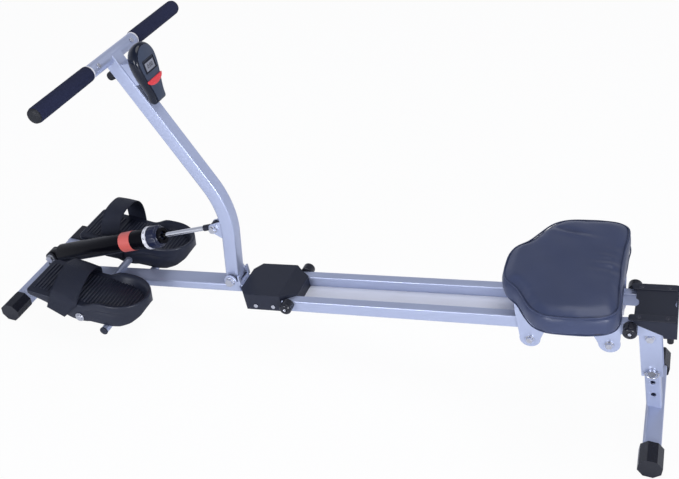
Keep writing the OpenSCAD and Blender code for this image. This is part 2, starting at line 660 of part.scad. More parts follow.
module piston_rod() color("white") along_cylinder() translate([0, 0, rod_inside])
  cylinder(d = rod_d, h = cyl_reach - eye_shank - rod_inside);
module rod_eye() color("#17181c") along_cylinder() translate([0, 0, cyl_reach]) difference() {
  union() {
    y_rod(10, rod_eye_w);
    translate([0, 0, -eye_shank]) cylinder(d = rod_eye_w - 2, h = eye_shank);
  }
  y_rod(rod_bolt_d/2 + run, 100);
}

// ---------- Pedals ----------
// Side view, X from the axle towards the heel, Z up from the axle
plate_drop = 0.075;
plate_toe_z = 41;
rim_z = 46;
sole_z = rest_n*cos(rail_pitch) + rest_back*sin(rail_pitch) - axle_n*cos(rail_pitch) + axle_d/2 + gap;
toe_r = 10;
pedal_wall = 4;
rib_pitch = 8;
function plate_z(x) = plate_toe_z - plate_drop*(x + pedal_toe);
axle_at = on_rail(axle_s, axle_n);

function pedal_plan(inset) = let (w = pedal_w/2 - inset, t = -pedal_toe + inset, h = pedal_heel - inset, x0 = 66)
  mirrored(concat([[t, 0]], bezier([t, w - toe_r], [t, w - 3], [t + 3, w], [t + toe_r, w], 5),
    [for (a = [90:-10:1]) [x0 + (h - x0)*cos(a), w*sin(a)]], [[h, 0]]));
module pedal_side() rotate([90, 0, 0]) linear_extrude(pedal_w + 2, center = true) polygon(concat(
  [[-pedal_toe, plate_z(-pedal_toe)], [-pedal_toe, plate_toe_z - 9], [-78, 18], [-24, -8], [-10, -10.5],
   [12, -10.5], [20, sole_z], [72, sole_z]],
  bezier([72, sole_z], [110, sole_z + 2], [pedal_heel - 8, 6], [pedal_heel, 24], 6),
  [[pedal_heel, rim_z], [48, rim_z], [10, plate_z(10)]]));
module pedal_core(inset) intersection() {
  translate([0, 0, -60]) linear_extrude(160) polygon(pedal_plan(inset));
  pedal_side();
}
module pedal() difference() {
  union() {
    difference() {
      pedal_core(0);
      // Heel cup
      intersection() {
        translate([0, 0, plate_z(pedal_heel) - 4]) linear_extrude(100) polygon(pedal_plan(6));
        rotate([90, 0, 0]) linear_extrude(pedal_w, center = true)
          polygon([[4, plate_z(4)], [pedal_heel, plate_z(pedal_heel)], [pedal_heel, 90], [4, 90]]);
      }
      // Hollow underside
      intersection() {
        translate([0, 0, -60]) linear_extrude(160) polygon(pedal_plan(pedal_wall));
        rotate([90, 0, 0]) linear_extrude(pedal_w, center = true)
          polygon([[-pedal_toe, plate_z(-pedal_toe) - 5], [pedal_heel, plate_z(pedal_heel) - 5],
            [pedal_heel, -40], [-pedal_toe, -40]]);
      }
    }
    y_rod(10.5, pedal_w);
    for (y = [-20, 20]) translate([-40, y - 2, 0]) cube([100, 4, 28]);
    // Treads across the plate
    for (x = [-pedal_toe + 10:rib_pitch:pedal_heel - 40])
      translate([x, 0, plate_z(x)]) cube([3, pedal_w - (x > 0 ? 20 : 14), 2.4], center = true);
  }
  y_rod(axle_d/2 + run, 400);
}
module at_pedal(side) machine() translate([axle_at[0], side*pedal_y, axle_at[1]]) children();
module left_pedal() color("#1b1d26") at_pedal(1) pedal();
module right_pedal() color("#1b1d26") at_pedal(-1) pedal();

strap_t = 2.5;
strap_x = -35.5;
strap_tail = -2;
strap_foot = 3;
// Arch across the foot, as [y, z]; grow moves it outwards
function strap_arch(half, rise, grow) = let (z0 = plate_z(strap_x) + strap_foot)
  [for (a = [0:10:180]) [(half + grow)*pow(abs(cos(a)), 0.7)*sign(cos(a)), z0 + (rise - strap_foot + grow)*sin(a)]];
module strap(rise) translate([strap_x, 0, 0]) rotate([90, 0, 90]) linear_extrude(strap_w, center = true) {
  half = pedal_w/2 + fit;
  polygon(concat([[half + strap_t, strap_tail]], strap_arch(half, rise, strap_t), [[-half - strap_t, strap_tail],
    [-half, strap_tail]], [for (i = [18:-1:0]) strap_arch(half, rise, 0)[i]], [[half, strap_tail]]));
}
module left_strap() color("#2a3048") at_pedal(1) strap(strap_rise_left);
module right_strap() color("#2a3048") at_pedal(-1) strap(strap_rise_right);

// ---------- Seat ----------
low_roller_n = rail_base - roller_r - gap;
top_roller_n = rail_top + roller_r + gap;
roller_w = rail_w - 2;
carriage_half = rail_gauge/2 + 3.5;
carriage_t = 3;
carriage_top = top_roller_n + roller_r + 2;
lobe_r = 19;
axle_bolt_d = 8;
board_t = 8;
board_inset = 10;
pad_base = carriage_top + carriage_t + 1.5;
roller_mid_s = seat_s + 11;
front_roller_s = roller_mid_s - roller_base/2;
rear_roller_s = roller_mid_s + roller_base/2;

// Plan of the pad about its own centre: round nose, flared flanks, broad square rear
function pad_plan(inset) = let (h = seat_len/2 - inset, w = seat_w/2 - inset, nose = w*0.36)
  mirrored(concat([[-h, 0]],
    bezier([-h, nose*0.3], [-h, nose*0.75], [-h + 8, nose], [-h*0.83, w*0.42], 5),
    bezier([-h*0.83, w*0.42], [-h*0.62, w*0.6], [-h*0.42, w*0.98], [0, w], 8),
    bezier([0, w], [h*0.3, w*1.01], [h*0.55, w*0.99], [h*0.74, w*0.96], 5),
    bezier([h*0.74, w*0.96], [h*0.95, w*0.93], [h, w*0.85], [h, w*0.62], 6), [[h, 0]]));
module seat_pad() color("#2b3145") along_rail() translate([seat_s, 0, pad_base]) difference() {
  union() {
    linear_extrude(seat_edge) polygon(pad_plan(0));
    translate([0, 0, seat_edge - 0.01]) linear_extrude(6) polygon(pad_plan(22));
  }
  translate([0, 0, -1]) linear_extrude(board_t + 1 + fit) polygon(pad_plan(board_inset - gap));
}
module seat_board() color("burlywood") along_rail() translate([seat_s, 0, 0]) {
  translate([0, 0, carriage_top + carriage_t]) linear_extrude(board_t + 1.5) polygon(pad_plan(board_inset));
}
module carriage_plate() rotate([90, 0, 0]) linear_extrude(carriage_t, center = true) {
  polygon([[front_roller_s - lobe_r + 1, low_roller_n], [front_roller_s - lobe_r - 4, top_roller_n],
    [front_roller_s - lobe_r - 4, carriage_top + carriage_t], [rear_roller_s + lobe_r + 2, carriage_top + carriage_t],
    [rear_roller_s + lobe_r + 2, top_roller_n], [rear_roller_s + lobe_r - 1, low_roller_n],
    [rear_roller_s - lobe_r, low_roller_n], [rear_roller_s - lobe_r - 8, rail_base],
    [front_roller_s + lobe_r + 8, rail_base], [front_roller_s + lobe_r, low_roller_n]]);
  for (s = [front_roller_s, rear_roller_s]) translate([s, low_roller_n]) circle(lobe_r);
}
module seat_carriage() color("#c9d2ea") along_rail() difference() {
  union() {
    for (side = [-1, 1]) translate([0, side*(carriage_half + carriage_t/2), 0]) carriage_plate();
    translate([front_roller_s - lobe_r - 4, -carriage_half - 1, carriage_top])
      cube([roller_base + 2*lobe_r + 6, 2*carriage_half + 2, carriage_t]);
  }
  for (s = [front_roller_s, rear_roller_s], n = [low_roller_n, top_roller_n])
    translate([s, 0, n]) y_rod(axle_bolt_d/2 + fit, 300);
}
module roller_bolts() color("silver") along_rail()
  for (s = [front_roller_s, rear_roller_s], n = [low_roller_n, top_roller_n])
    translate([s, 0, n]) bolt_y(axle_bolt_d, 2*(carriage_half + carriage_t), 11);
module roller_pair() for (side = [-1, 1]) translate([0, side*rail_y, 0]) difference() {
  union() {
    y_rod(roller_r, roller_w);
    y_rod(8, roller_w + 2);
  }
  y_rod(axle_bolt_d/2 + run, 100);
}
module front_rollers() color("white") along_rail() translate([front_roller_s, 0, top_roller_n]) roller_pair();
module rear_rollers() color("white") along_rail() translate([rear_roller_s, 0, top_roller_n]) roller_pair();
module front_lower_rollers() color("white") along_rail() translate([front_roller_s, 0, low_roller_n]) roller_pair();
module rear_lower_rollers() color("white") along_rail() translate([rear_roller_s, 0, low_roller_n]) roller_pair();

front_stabilizer();
rear_stabilizer();
stabilizer_end_caps();
main_beam();
cylinder_bracket();
cylinder_lower_bolt();
pedal_axle();
pedal_rest_bar();
rest_bar_plugs();
pedal_bolts();
pivot_bracket();
lever_bolt();
joint_channel();
frame_bolts();
seat_rails();
rail_floor_plate();
front_cover();
rear_cover();
cover_screws();
rail_bumpers();
rear_crossmember();
leg_bracket();
leg_post();
storage_feet();
lock_pin();
pin_ring();
handlebar_post();
lever_bushes();
cylinder_ears();
cylinder_upper_bolt();
post_buffer();
handlebar_sleeve();
handle_tubes();
handle_collars();
foam_grips();
grip_end_caps();
sleeve_screws();
monitor_bracket();
monitor_housing();
monitor_face();
monitor_display();
monitor_button();
cylinder_body();
cylinder_band();
resistance_knob();
number_ring();
piston_rod();
rod_eye();
left_pedal();
right_pedal();
left_strap();
right_strap();
seat_pad();
seat_board();
seat_carriage();
roller_bolts();
front_rollers();
rear_rollers();
front_lower_rollers();
rear_lower_rollers();
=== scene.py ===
"""Compact rowing machine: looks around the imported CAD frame. Metres, +X to the seat end, +Z up."""
import json
import math

from functools import partial

import bmesh
import bpy
import numpy as np
from mathutils import Matrix, Vector


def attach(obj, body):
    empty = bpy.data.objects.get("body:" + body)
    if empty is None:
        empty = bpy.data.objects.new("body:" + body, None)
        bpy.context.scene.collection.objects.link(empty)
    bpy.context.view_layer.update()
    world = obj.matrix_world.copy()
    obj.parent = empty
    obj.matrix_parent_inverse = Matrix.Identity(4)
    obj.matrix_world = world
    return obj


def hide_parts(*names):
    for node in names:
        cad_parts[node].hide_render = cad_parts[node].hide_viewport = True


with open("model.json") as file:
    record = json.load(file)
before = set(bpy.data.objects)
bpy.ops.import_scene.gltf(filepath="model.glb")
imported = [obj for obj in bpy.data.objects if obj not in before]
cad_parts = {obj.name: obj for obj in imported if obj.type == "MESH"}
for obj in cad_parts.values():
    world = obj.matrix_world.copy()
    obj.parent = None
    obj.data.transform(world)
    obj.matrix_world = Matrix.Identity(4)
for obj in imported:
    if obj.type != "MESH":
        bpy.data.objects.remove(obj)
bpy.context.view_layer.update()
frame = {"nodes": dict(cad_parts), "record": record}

NODES = frame["nodes"]
BODY_OF = {n: b for b, ns in frame["record"]["behaviour"]["bodies"].items() for n in ns}
SLOT_OF = {s["node"]: s["material_slot"] for s in frame["record"]["subparts"]}

# ---------- Places, in millimetres as the CAD source has them ----------
AXLE_SPAN, AXIS_Z, PITCH = 1335.0, 20.0, math.radians(10.6)
PIVOT_S, PIVOT_N = 484.0, 18.0


def unit(angle):
    return np.array([math.cos(angle), 0.0, math.sin(angle)])


class Place:
    """A local frame: at(p) gives metres in the row frame for local millimetres."""

    def __init__(self, origin, tilt=0.0, x_axis=None, z_axis=None):
        self.origin = np.array(origin, float)
        self.x = unit(tilt) if x_axis is None else np.array(x_axis, float)
        self.z = unit(tilt + math.pi / 2) if z_axis is None else np.array(z_axis, float)
        self.y = np.cross(self.z, self.x)

    def at(self, p):
        p = np.asarray(p, float)
        q = self.origin + p[..., 0:1] * self.x + p[..., 1:2] * self.y + p[..., 2:3] * self.z
        return (q - [AXLE_SPAN / 2, 0, 0]) / 1000


def on_rail(s, n):
    return np.array([0, 0, AXIS_Z]) + s * unit(PITCH) + n * unit(PITCH + math.pi / 2)


PIVOT = on_rail(PIVOT_S, PIVOT_N)
REACH, RISE = 210.0, 463.8
HANDLE = PIVOT + [-REACH, 0, RISE]
CYL_PIN = np.array([21.3, 0, 71])
ROD_PIN = PIVOT + [-33.5, 0, 117]
CYL_ANGLE = math.atan2(ROD_PIN[2] - CYL_PIN[2], ROD_PIN[0] - CYL_PIN[0])
AXLE_AT = on_rail(190, 8)
KNOB_S = 277.3
REAR_COVER_S, FRONT_BUMPER_S, REAR_BUMPER_S = 1279.1, 621.0, 1274.1
RAIL = Place([0, 0, AXIS_Z], PITCH)
AT_PIVOT = Place(PIVOT)
AT_HANDLE = Place(HANDLE)
FACE_TILT = math.radians(15)
AT_FACE = Place(PIVOT + [-127.5, 0, 443.5], FACE_TILT)
AT_CYLINDER = Place(CYL_PIN, x_axis=unit(CYL_ANGLE - math.pi / 2), z_axis=unit(CYL_ANGLE))
PEDAL_OFFSET = 102.0


def at_pedal(side):
    return Place(AXLE_AT + [0, side * PEDAL_OFFSET, 0])


# ---------- Camera, light and floor ----------
IMAGE_WIDTH, IMAGE_CENTRE, LENS_CENTRE = 679, (339.5, 239.5), (339.548, 238.732)


def make_camera():
    """Camera fitted to the object's known edges: axes, place, focal length and off-centre lens."""
    right = Vector((0.945651, 0.325034, -0.009804))
    down = Vector((0.185593, -0.56423, -0.804487))
    ahead = Vector((-0.267017, 0.758945, -0.593889))
    data = bpy.data.cameras.new("camera")
    data.sensor_width, data.lens = 36.0, 47.566
    data.shift_x = (IMAGE_CENTRE[0] - LENS_CENTRE[0]) / IMAGE_WIDTH
    data.shift_y = (LENS_CENTRE[1] - IMAGE_CENTRE[1]) / IMAGE_WIDTH
    data.clip_start, data.clip_end = 0.05, 60
    cam = bpy.data.objects.new("camera", data)
    turn = Matrix((right, -down, -ahead)).transposed().to_4x4()
    cam.matrix_world = Matrix.Translation((0.49646, -1.30748, 1.29626)) @ turn
    bpy.context.scene.collection.objects.link(cam)
    bpy.context.scene.camera = cam


def make_lamp(name, place, aim, size, power, colour=(1, 1, 1)):
    """Round area lamp at a place, turned to face aim."""
    data = bpy.data.lights.new(name, "AREA")
    data.shape, data.size, data.energy, data.color = "DISK", size, power, colour
    lamp = bpy.data.objects.new(name, data)
    lamp.location = place
    lamp.rotation_euler = (Vector(aim) - Vector(place)).to_track_quat("-Z", "Y").to_euler()
    bpy.context.scene.collection.objects.link(lamp)


HORIZON, ZENITH = (0.80, 0.84, 0.97, 1), (0.17, 0.18, 0.23, 1)
ROOM_STRENGTH, FLOOR_GLOW = 0.86, 0.95


def make_world():
    """Pale surroundings, brighter at the horizon than overhead; plain white where the camera sees them."""
    world = bpy.data.worlds.new("studio")
    bpy.context.scene.world = world
    world.use_nodes = True
    tree = world.node_tree
    tree.nodes.clear()
    put = tree.nodes.new
    out, mix = put("ShaderNodeOutputWorld"), put("ShaderNodeMixShader")
    room, white, path = put("ShaderNodeBackground"), put("ShaderNodeBackground"), put("ShaderNodeLightPath")
    coord, split = put("ShaderNodeTexCoord"), put("ShaderNodeSeparateXYZ")
    ramp = put("ShaderNodeValToRGB")
    tree.links.new(coord.outputs["Generated"], split.inputs[0])
    tree.links.new(split.outputs["Z"], ramp.inputs[0])
    stops = ramp.color_ramp.elements
    stops[0].position, stops[0].color = 0.0, HORIZON
    stops[1].position, stops[1].color = 0.85, ZENITH
    tree.links.new(ramp.outputs[0], room.inputs["Color"])
    room.inputs["Strength"].default_value = ROOM_STRENGTH
    white.inputs["Color"].default_value = (1, 1, 1, 1)
    tree.links.new(path.outputs["Is Camera Ray"], mix.inputs[0])
    tree.links.new(room.outputs[0], mix.inputs[1])
    tree.links.new(white.outputs[0], mix.inputs[2])
    tree.links.new(mix.outputs[0], out.inputs[0])


def make_floor():
    """Floor that takes faint shadows: almost plain white to the camera, pale paint to every other ray."""
    mat = bpy.data.materials.new("pale_floor")
    mat.use_nodes = True
    tree = mat.node_tree
    tree.nodes.clear()
    put = tree.nodes.new
    out, mix, path = put("ShaderNodeOutputMaterial"), put("ShaderNodeMixShader"), put("ShaderNodeLightPath")
    paint, glow = put("ShaderNodeBsdfDiffuse"), put("ShaderNodeEmission")
    share = put("ShaderNodeMath")
    share.operation = "MULTIPLY"
    share.inputs[1].default_value = FLOOR_GLOW
    paint.inputs["Color"].default_value = (0.86, 0.87, 0.90, 1)
    glow.inputs["Color"].default_value = (1, 1, 1, 1)
    tree.links.new(path.outputs["Is Camera Ray"], share.inputs[0])
    tree.links.new(share.outputs[0], mix.inputs[0])
    tree.links.new(paint.outputs[0], mix.inputs[1])
    tree.links.new(glow.outputs[0], mix.inputs[2])
    tree.links.new(mix.outputs[0], out.inputs[0])
    mesh = bpy.data.meshes.new("floor")
    mesh.from_pydata([(-6, -6, 0), (6, -6, 0), (6, 6, 0), (-6, 6, 0)], [], [(0, 1, 2, 3)])
    mesh.materials.append(mat)
    floor = bpy.data.objects.new("floor", mesh)
    bpy.context.scene.collection.objects.link(floor)


bpy.context.scene.view_settings.view_transform = "Standard"
make_camera()
make_world()
make_floor()
make_lamp("key", (-1.0, -2.8, 1.0), (0, 0, 0.2), 1.1, 36, (0.93, 0.95, 1))
make_lamp("top", (0.4, 0.5, 3.0), (0, 0, 0.1), 2.2, 36)
make_lamp("near", (1.9, -2.4, 0.8), (0.3, 0, 0.2), 0.9, 42, (0.93, 0.95, 1))


# ---------- Node groups shared by the materials ----------
def new_group(name, inputs, outputs):
    group = bpy.data.node_groups.new(name, "ShaderNodeTree")
    for label, kind, value in inputs:
        socket = group.interface.new_socket(name=label, in_out="INPUT", socket_type=kind)
        if value is not None:
            socket.default_value = value
    for label, kind in outputs:
        group.interface.new_socket(name=label, in_out="OUTPUT", socket_type=kind)
    return group, group.nodes.new("NodeGroupInput"), group.nodes.new("NodeGroupOutput")


def maths(tree, operation, a, b=None, c=None, clamp=False):
    node = tree.nodes.new("ShaderNodeMath")
    node.operation, node.use_clamp = operation, clamp
    for socket, value in zip(node.inputs, (a, b, c)):
        if value is None:
            continue
        if isinstance(value, (int, float)):
            socket.default_value = value
        else:
            tree.links.new(value, socket)
    return node.outputs[0]


def noise(tree, vector, scale, detail=3.0, rough=0.55):
    node = tree.nodes.new("ShaderNodeTexNoise")
    node.inputs["Detail"].default_value = detail
    node.inputs["Roughness"].default_value = rough
    tree.links.new(vector, node.inputs["Vector"])
    if isinstance(scale, (int, float)):
        node.inputs["Scale"].default_value = scale
    else:
        tree.links.new(scale, node.inputs["Scale"])
    return node.outputs["Fac"]


def group_grain():
    """Moulded or sprayed grain: fine noise for the height, broad noise for the shade."""
    group, inn, out = new_group("grain", [("Vector", "NodeSocketVector", None),
                                          ("Size", "NodeSocketFloat", 900.0),
        ("Broad", "NodeSocketFloat", 9.0)], [("Height", "NodeSocketFloat"), ("Shade", "NodeSocketFloat")])
    group.links.new(noise(group, inn.outputs["Vector"], inn.outputs["Size"], 2.0), out.inputs["Height"])
    group.links.new(noise(group, inn.outputs["Vector"], inn.outputs["Broad"], 4.0), out.inputs["Shade"])
    return group


def group_scuffs():
    """Sparse rub marks: stretched noise above a threshold, broken up by a broader noise."""
    group, inn, out = new_group("scuffs", [("Vector", "NodeSocketVector", None),
                                           ("Size", "NodeSocketFloat", 60.0),
        ("Amount", "NodeSocketFloat", 0.5)], [("Mask", "NodeSocketFloat")])
    stretch = group.nodes.new("ShaderNodeMapping")
    stretch.inputs["Scale"].default_value = (0.25, 1.0, 1.0)
    stretch.inputs["Rotation"].default_value = (0.0, 0.4, 0.6)
    group.links.new(inn.outputs["Vector"], stretch.inputs["Vector"])
    lines = noise(group, stretch.outputs[0], inn.outputs["Size"], 6.0, 0.7)
    patch_size, threshold, gain = 14.0, 0.32, 9.0
    patches = noise(group, inn.outputs["Vector"], patch_size, 2.0)
    both = maths(group, "MULTIPLY", lines, patches)
    mask = maths(group, "MULTIPLY", maths(group, "SUBTRACT", both, threshold), gain, clamp=True)
    group.links.new(maths(group, "MULTIPLY", mask, inn.outputs["Amount"]), out.inputs["Mask"])
    return group


def group_weave():
    """Webbing over UV in millimetres: ribs across, finer yarns along, as two sine products."""
    group, inn, out = new_group("weave", [("Vector", "NodeSocketVector", None),
                                          ("Pitch", "NodeSocketFloat", 1.6)],
        [("Height", "NodeSocketFloat")])
    split = group.nodes.new("ShaderNodeSeparateXYZ")
    group.links.new(inn.outputs["Vector"], split.inputs[0])
    full_turn, yarns_per_rib = 6.2832, 1.7
    turns = maths(group, "DIVIDE", full_turn, inn.outputs["Pitch"])
    along = maths(group, "SINE", maths(group, "MULTIPLY", split.outputs["X"], turns))
    yarns = maths(group, "MULTIPLY", maths(group, "MULTIPLY", split.outputs["Y"], turns), yarns_per_rib)
    across = maths(group, "SINE", yarns)
    product = maths(group, "MULTIPLY", along, across)
    group.links.new(maths(group, "MULTIPLY_ADD", product, 0.5, 0.5), out.inputs["Height"])
    return group


GRAIN, SCUFFS, WEAVE = group_grain(), group_scuffs(), group_weave()


def finish_material(name, colour, rough, metallic=0.0, size=900.0, bump=0.02, tint=0.06, broad=9.0, scuff=0.0,
                    scuff_colour=None, rough_var=0.08, coat=0.0, coat_rough=0.1, weave=None, depth=0.0004,
                    spec=None):
    """Principled finish: colour shaded by broad grain, scuffs mixed in, bump from fine grain or weave."""
    mat = bpy.data.materials.new(name)
    mat.use_nodes = True
    tree = mat.node_tree
    put, link = tree.nodes.new, tree.links.new
    shader = tree.nodes["Principled BSDF"]
    coord = put("ShaderNodeTexCoord")
    grain = put("ShaderNodeGroup")
    grain.node_tree = GRAIN
    link(coord.outputs["Object"], grain.inputs["Vector"])
    grain.inputs["Size"].default_value, grain.inputs["Broad"].default_value = size, broad
    base = put("ShaderNodeMix")
    base.data_type = "RGBA"
    low, high = [c * (1 - tint) for c in colour], [min(1.0, c * (1 + tint)) for c in colour]
    base.inputs["A"].default_value, base.inputs["B"].default_value = (*low, 1), (*high, 1)
    link(grain.outputs["Shade"], base.inputs["Factor"])
    surface = base.outputs["Result"]
    roughness = maths(tree, "MULTIPLY_ADD", grain.outputs["Shade"], 2 * rough_var, rough - rough_var)
    if scuff:
        marks = put("ShaderNodeGroup")
        marks.node_tree = SCUFFS
        link(coord.outputs["Object"], marks.inputs["Vector"])
        marks.inputs["Amount"].default_value = scuff
        over = put("ShaderNodeMix")
        over.data_type = "RGBA"
        link(marks.outputs["Mask"], over.inputs["Factor"])
        link(surface, over.inputs["A"])
        over.inputs["B"].default_value = (*(scuff_colour or [min(1, 1.5 * c + 0.02) for c in colour]), 1)
        surface = over.outputs["Result"]
        roughness = maths(tree, "MULTIPLY_ADD", marks.outputs["Mask"], 0.15, roughness)
    link(surface, shader.inputs["Base Color"])
    link(roughness, shader.inputs["Roughness"])
    shader.inputs["Metallic"].default_value = metallic
    shader.inputs["Coat Weight"].default_value = coat
    shader.inputs["Coat Roughness"].default_value = coat_rough
    if spec is not None:
        shader.inputs["Specular IOR Level"].default_value = spec
    relief = put("ShaderNodeBump")
    relief.inputs["Strength"].default_value = bump
    relief.inputs["Distance"].default_value = depth
    if weave:
        cloth = put("ShaderNodeGroup")
        cloth.node_tree = WEAVE
        cloth.inputs["Pitch"].default_value = weave
        link(coord.outputs["UV"], cloth.inputs["Vector"])
        link(cloth.outputs["Height"], relief.inputs["Height"])
    else:
        link(grain.outputs["Height"], relief.inputs["Height"])
    link(relief.outputs[0], shader.inputs["Normal"])
    return mat


SILVER = finish_material("silver_paint", (0.47, 0.52, 0.69), 0.34, metallic=0.5, size=2600, bump=0.05,
                         tint=0.05, scuff=0.10, coat=0.3, coat_rough=0.16, depth=0.0002)
STEEL = finish_material("zinc_steel", (0.62, 0.63, 0.68), 0.27, metallic=0.95, size=700, bump=0.05,
                        tint=0.10, scuff=0.3, rough_var=0.1)
DARK_STEEL = finish_material("dark_screw", (0.10, 0.10, 0.12), 0.25, metallic=0.9, size=700, bump=0.05,
                             tint=0.10)
CHROME = finish_material("chrome", (0.80, 0.81, 0.84), 0.10, metallic=1.0, size=400, bump=0.01, tint=0.03,
                         rough_var=0.03)
TUBE_STEEL = finish_material("bright_tube", (0.45, 0.46, 0.50), 0.28, metallic=0.9, tint=0.1)
BLACK = finish_material("moulded_black", (0.014, 0.017, 0.031), 0.40, size=1500, bump=0.22, tint=0.18,
                        scuff=0.10, scuff_colour=(0.06, 0.065, 0.09), spec=0.35)
CAP_BLACK = finish_material("cap_black", (0.012, 0.013, 0.020), 0.22, size=1500, bump=0.08, tint=0.12,
                            scuff=0.12, scuff_colour=(0.05, 0.055, 0.07), spec=0.45)
BRACKET = finish_material("black_bracket", (0.022, 0.024, 0.032), 0.38, metallic=0.3, size=1200, bump=0.1,
                          scuff=0.2)
PEDAL = finish_material("pedal_black", (0.013, 0.016, 0.030), 0.36, size=1100, bump=0.25, tint=0.2,
                        scuff=0.12, scuff_colour=(0.045, 0.05, 0.075), spec=0.42)
RUBBER = finish_material("black_rubber", (0.010, 0.011, 0.015), 0.5, size=1800, bump=0.3, tint=0.15, spec=0.3)
FOAM = finish_material("foam", (0.020, 0.024, 0.056), 0.72, size=2400, bump=0.7, tint=0.22, depth=0.0006,
                       spec=0.12)
GLOSS = finish_material("gloss_black", (0.007, 0.010, 0.020), 0.16, size=300, bump=0.01, tint=0.1, coat=0.12,
                        coat_rough=0.05, spec=0.28)
ENAMEL = finish_material("cylinder_enamel", (0.003, 0.003, 0.005), 0.24, size=500, bump=0.02, tint=0.1,
                         scuff=0.06, scuff_colour=(0.02, 0.02, 0.025), spec=0.07)
KNOB = finish_material("knob_plastic", (0.011, 0.015, 0.040), 0.26, size=900, bump=0.1, tint=0.12, spec=0.45)
PANEL = finish_material("panel_plastic", (0.042, 0.056, 0.092), 0.42, size=1600, bump=0.15, tint=0.08,
                        spec=0.4)
LCD = finish_material("lcd_grey", (0.24, 0.25, 0.29), 0.24, size=60, bump=0.01, tint=0.12, broad=60, spec=0.4)
RED = finish_material("red_plastic", (0.78, 0.040, 0.050), 0.28, size=800, bump=0.05, tint=0.06, coat=0.3)
BAND = finish_material("red_band", (0.66, 0.13, 0.11), 0.34, size=600, bump=0.03, tint=0.06, scuff=0.15,
                       scuff_colour=(0.85, 0.4, 0.35))
WHITE = finish_material("white_plastic", (0.78, 0.78, 0.82), 0.40, size=900, bump=0.06, tint=0.04)
INK = finish_material("ink", (0.02, 0.02, 0.03), 0.5)
WEB = finish_material("webbing", (0.011, 0.014, 0.028), 0.5, tint=0.2, weave=1.8, bump=0.6, depth=0.0006,
                      spec=0.3)
VINYL = finish_material("vinyl", (0.043, 0.056, 0.114), 0.35, size=1500, bump=0.16, tint=0.16, broad=14,
                        depth=0.0003, rough_var=0.05, spec=0.38)
PLATE = finish_material("pale_plate", (0.86, 0.88, 0.97), 0.5, size=1800, bump=0.05, tint=0.04)
WOOD = finish_material("sealed_plywood", (0.09, 0.06, 0.035), 0.6, size=200, bump=0.2, tint=0.25, broad=60)

MATERIAL_OF = {
    "silver_paint": SILVER, "black_bracket": BRACKET, "zinc_hardware": STEEL, "black_plastic": BLACK,
    "black_rubber": RUBBER, "gloss_black": GLOSS, "cylinder_paint": ENAMEL, "panel_plastic": PANEL,
    "display_glass": LCD, "red_plastic": RED, "red_band": BAND, "white_plastic": WHITE, "chrome": CHROME,
    "steel_tube": TUBE_STEEL, "foam": FOAM, "webbing": WEB, "vinyl": VINYL, "plywood": WOOD,
}
OWN_MATERIAL = {
    "left_pedal": PEDAL, "right_pedal": PEDAL, "resistance_knob": KNOB, "rail_floor_plate": PLATE,
    "monitor_bracket": SILVER, "stabilizer_end_caps": CAP_BLACK, "rail_bumpers": CAP_BLACK,
}


def material_for(node):
    return OWN_MATERIAL.get(node, MATERIAL_OF[SLOT_OF[node]])


# ---------- Mesh helpers ----------
def add_mesh(name, points, faces, mat, smooth=40.0, uv=None):
    """Mesh object at the origin from an (n, 3) array in metres; edges over smooth degrees stay crisp."""
    mesh = bpy.data.meshes.new(name)
    mesh.from_pydata(np.asarray(points, float).reshape(-1, 3).tolist(), [], faces)
    if uv is not None:
        layer = mesh.uv_layers.new(name="flat")
        index = np.zeros(len(mesh.loops), int)
        mesh.loops.foreach_get("vertex_index", index)
        layer.data.foreach_set("uv", np.asarray(uv, np.float32).reshape(-1, 2)[index].ravel())
    mesh.materials.append(mat)
    obj = bpy.data.objects.new(name, mesh)
    bpy.context.scene.collection.objects.link(obj)
    tidy_mesh(mesh, smooth)
    return obj


def tidy_mesh(mesh, smooth):
    """Merges doubled points, turns normals outwards and marks edges sharper than smooth degrees."""
    bm = bmesh.new()
    bm.from_mesh(mesh)
    bmesh.ops.remove_doubles(bm, verts=bm.verts, dist=1e-6)
    bmesh.ops.recalc_face_normals(bm, faces=bm.faces)
    bm.to_mesh(mesh)
    bm.free()
    mesh.shade_smooth()
    mesh.set_sharp_from_angle(angle=math.radians(smooth))


def grid_faces(rows, cols, loop_rows=False, loop_cols=False, start=0):
    """Quads between neighbouring points of a rows by cols grid."""
    r = np.arange(rows if loop_rows else rows - 1)[:, None]
    c = np.arange(cols if loop_cols else cols - 1)[None, :]
    r2, c2 = (r + 1) % rows, (c + 1) % cols
    quads = np.stack([r * cols + c, r * cols + c2, r2 * cols + c2, r2 * cols + c], -1).reshape(-1, 4) + start
    return quads.tolist()


def add_stack(name, rings, mat, smooth=40.0):
    """Skin over a stack of closed rings (k, n, 3) in metres, with a flat face at each end."""
    rings = np.asarray(rings, float)
    k, n = rings.shape[:2]
    faces = grid_faces(k, n, loop_cols=True)
    faces += [list(range(n))[::-1], list(range((k - 1) * n, k * n))]
    return add_mesh(name, rings.reshape(-1, 3), faces, mat, smooth)


def lathe(name, profile, place, axis, mat, turns=48, smooth=35.0, ripple=None):
    """Profile of (radius, height) pairs turned about a local axis, 'x', 'y' or 'z'.

    ripple(angle) scales the radius.
    """
    profile = np.asarray(profile, float)
    angle = np.linspace(0, 2 * math.pi, turns, endpoint=False)
    scale = np.ones_like(angle) if ripple is None else ripple(angle)
    radius = profile[:, 0:1] * scale[None, :]
    height = np.repeat(profile[:, 1:2], turns, 1)
    a, b = radius * np.cos(angle), radius * np.sin(angle)
    order = {"z": (a, b, height), "y": (b, height, a), "x": (height, a, b)}[axis]
    return add_stack(name, place.at(np.stack(order, -1)), mat, smooth)


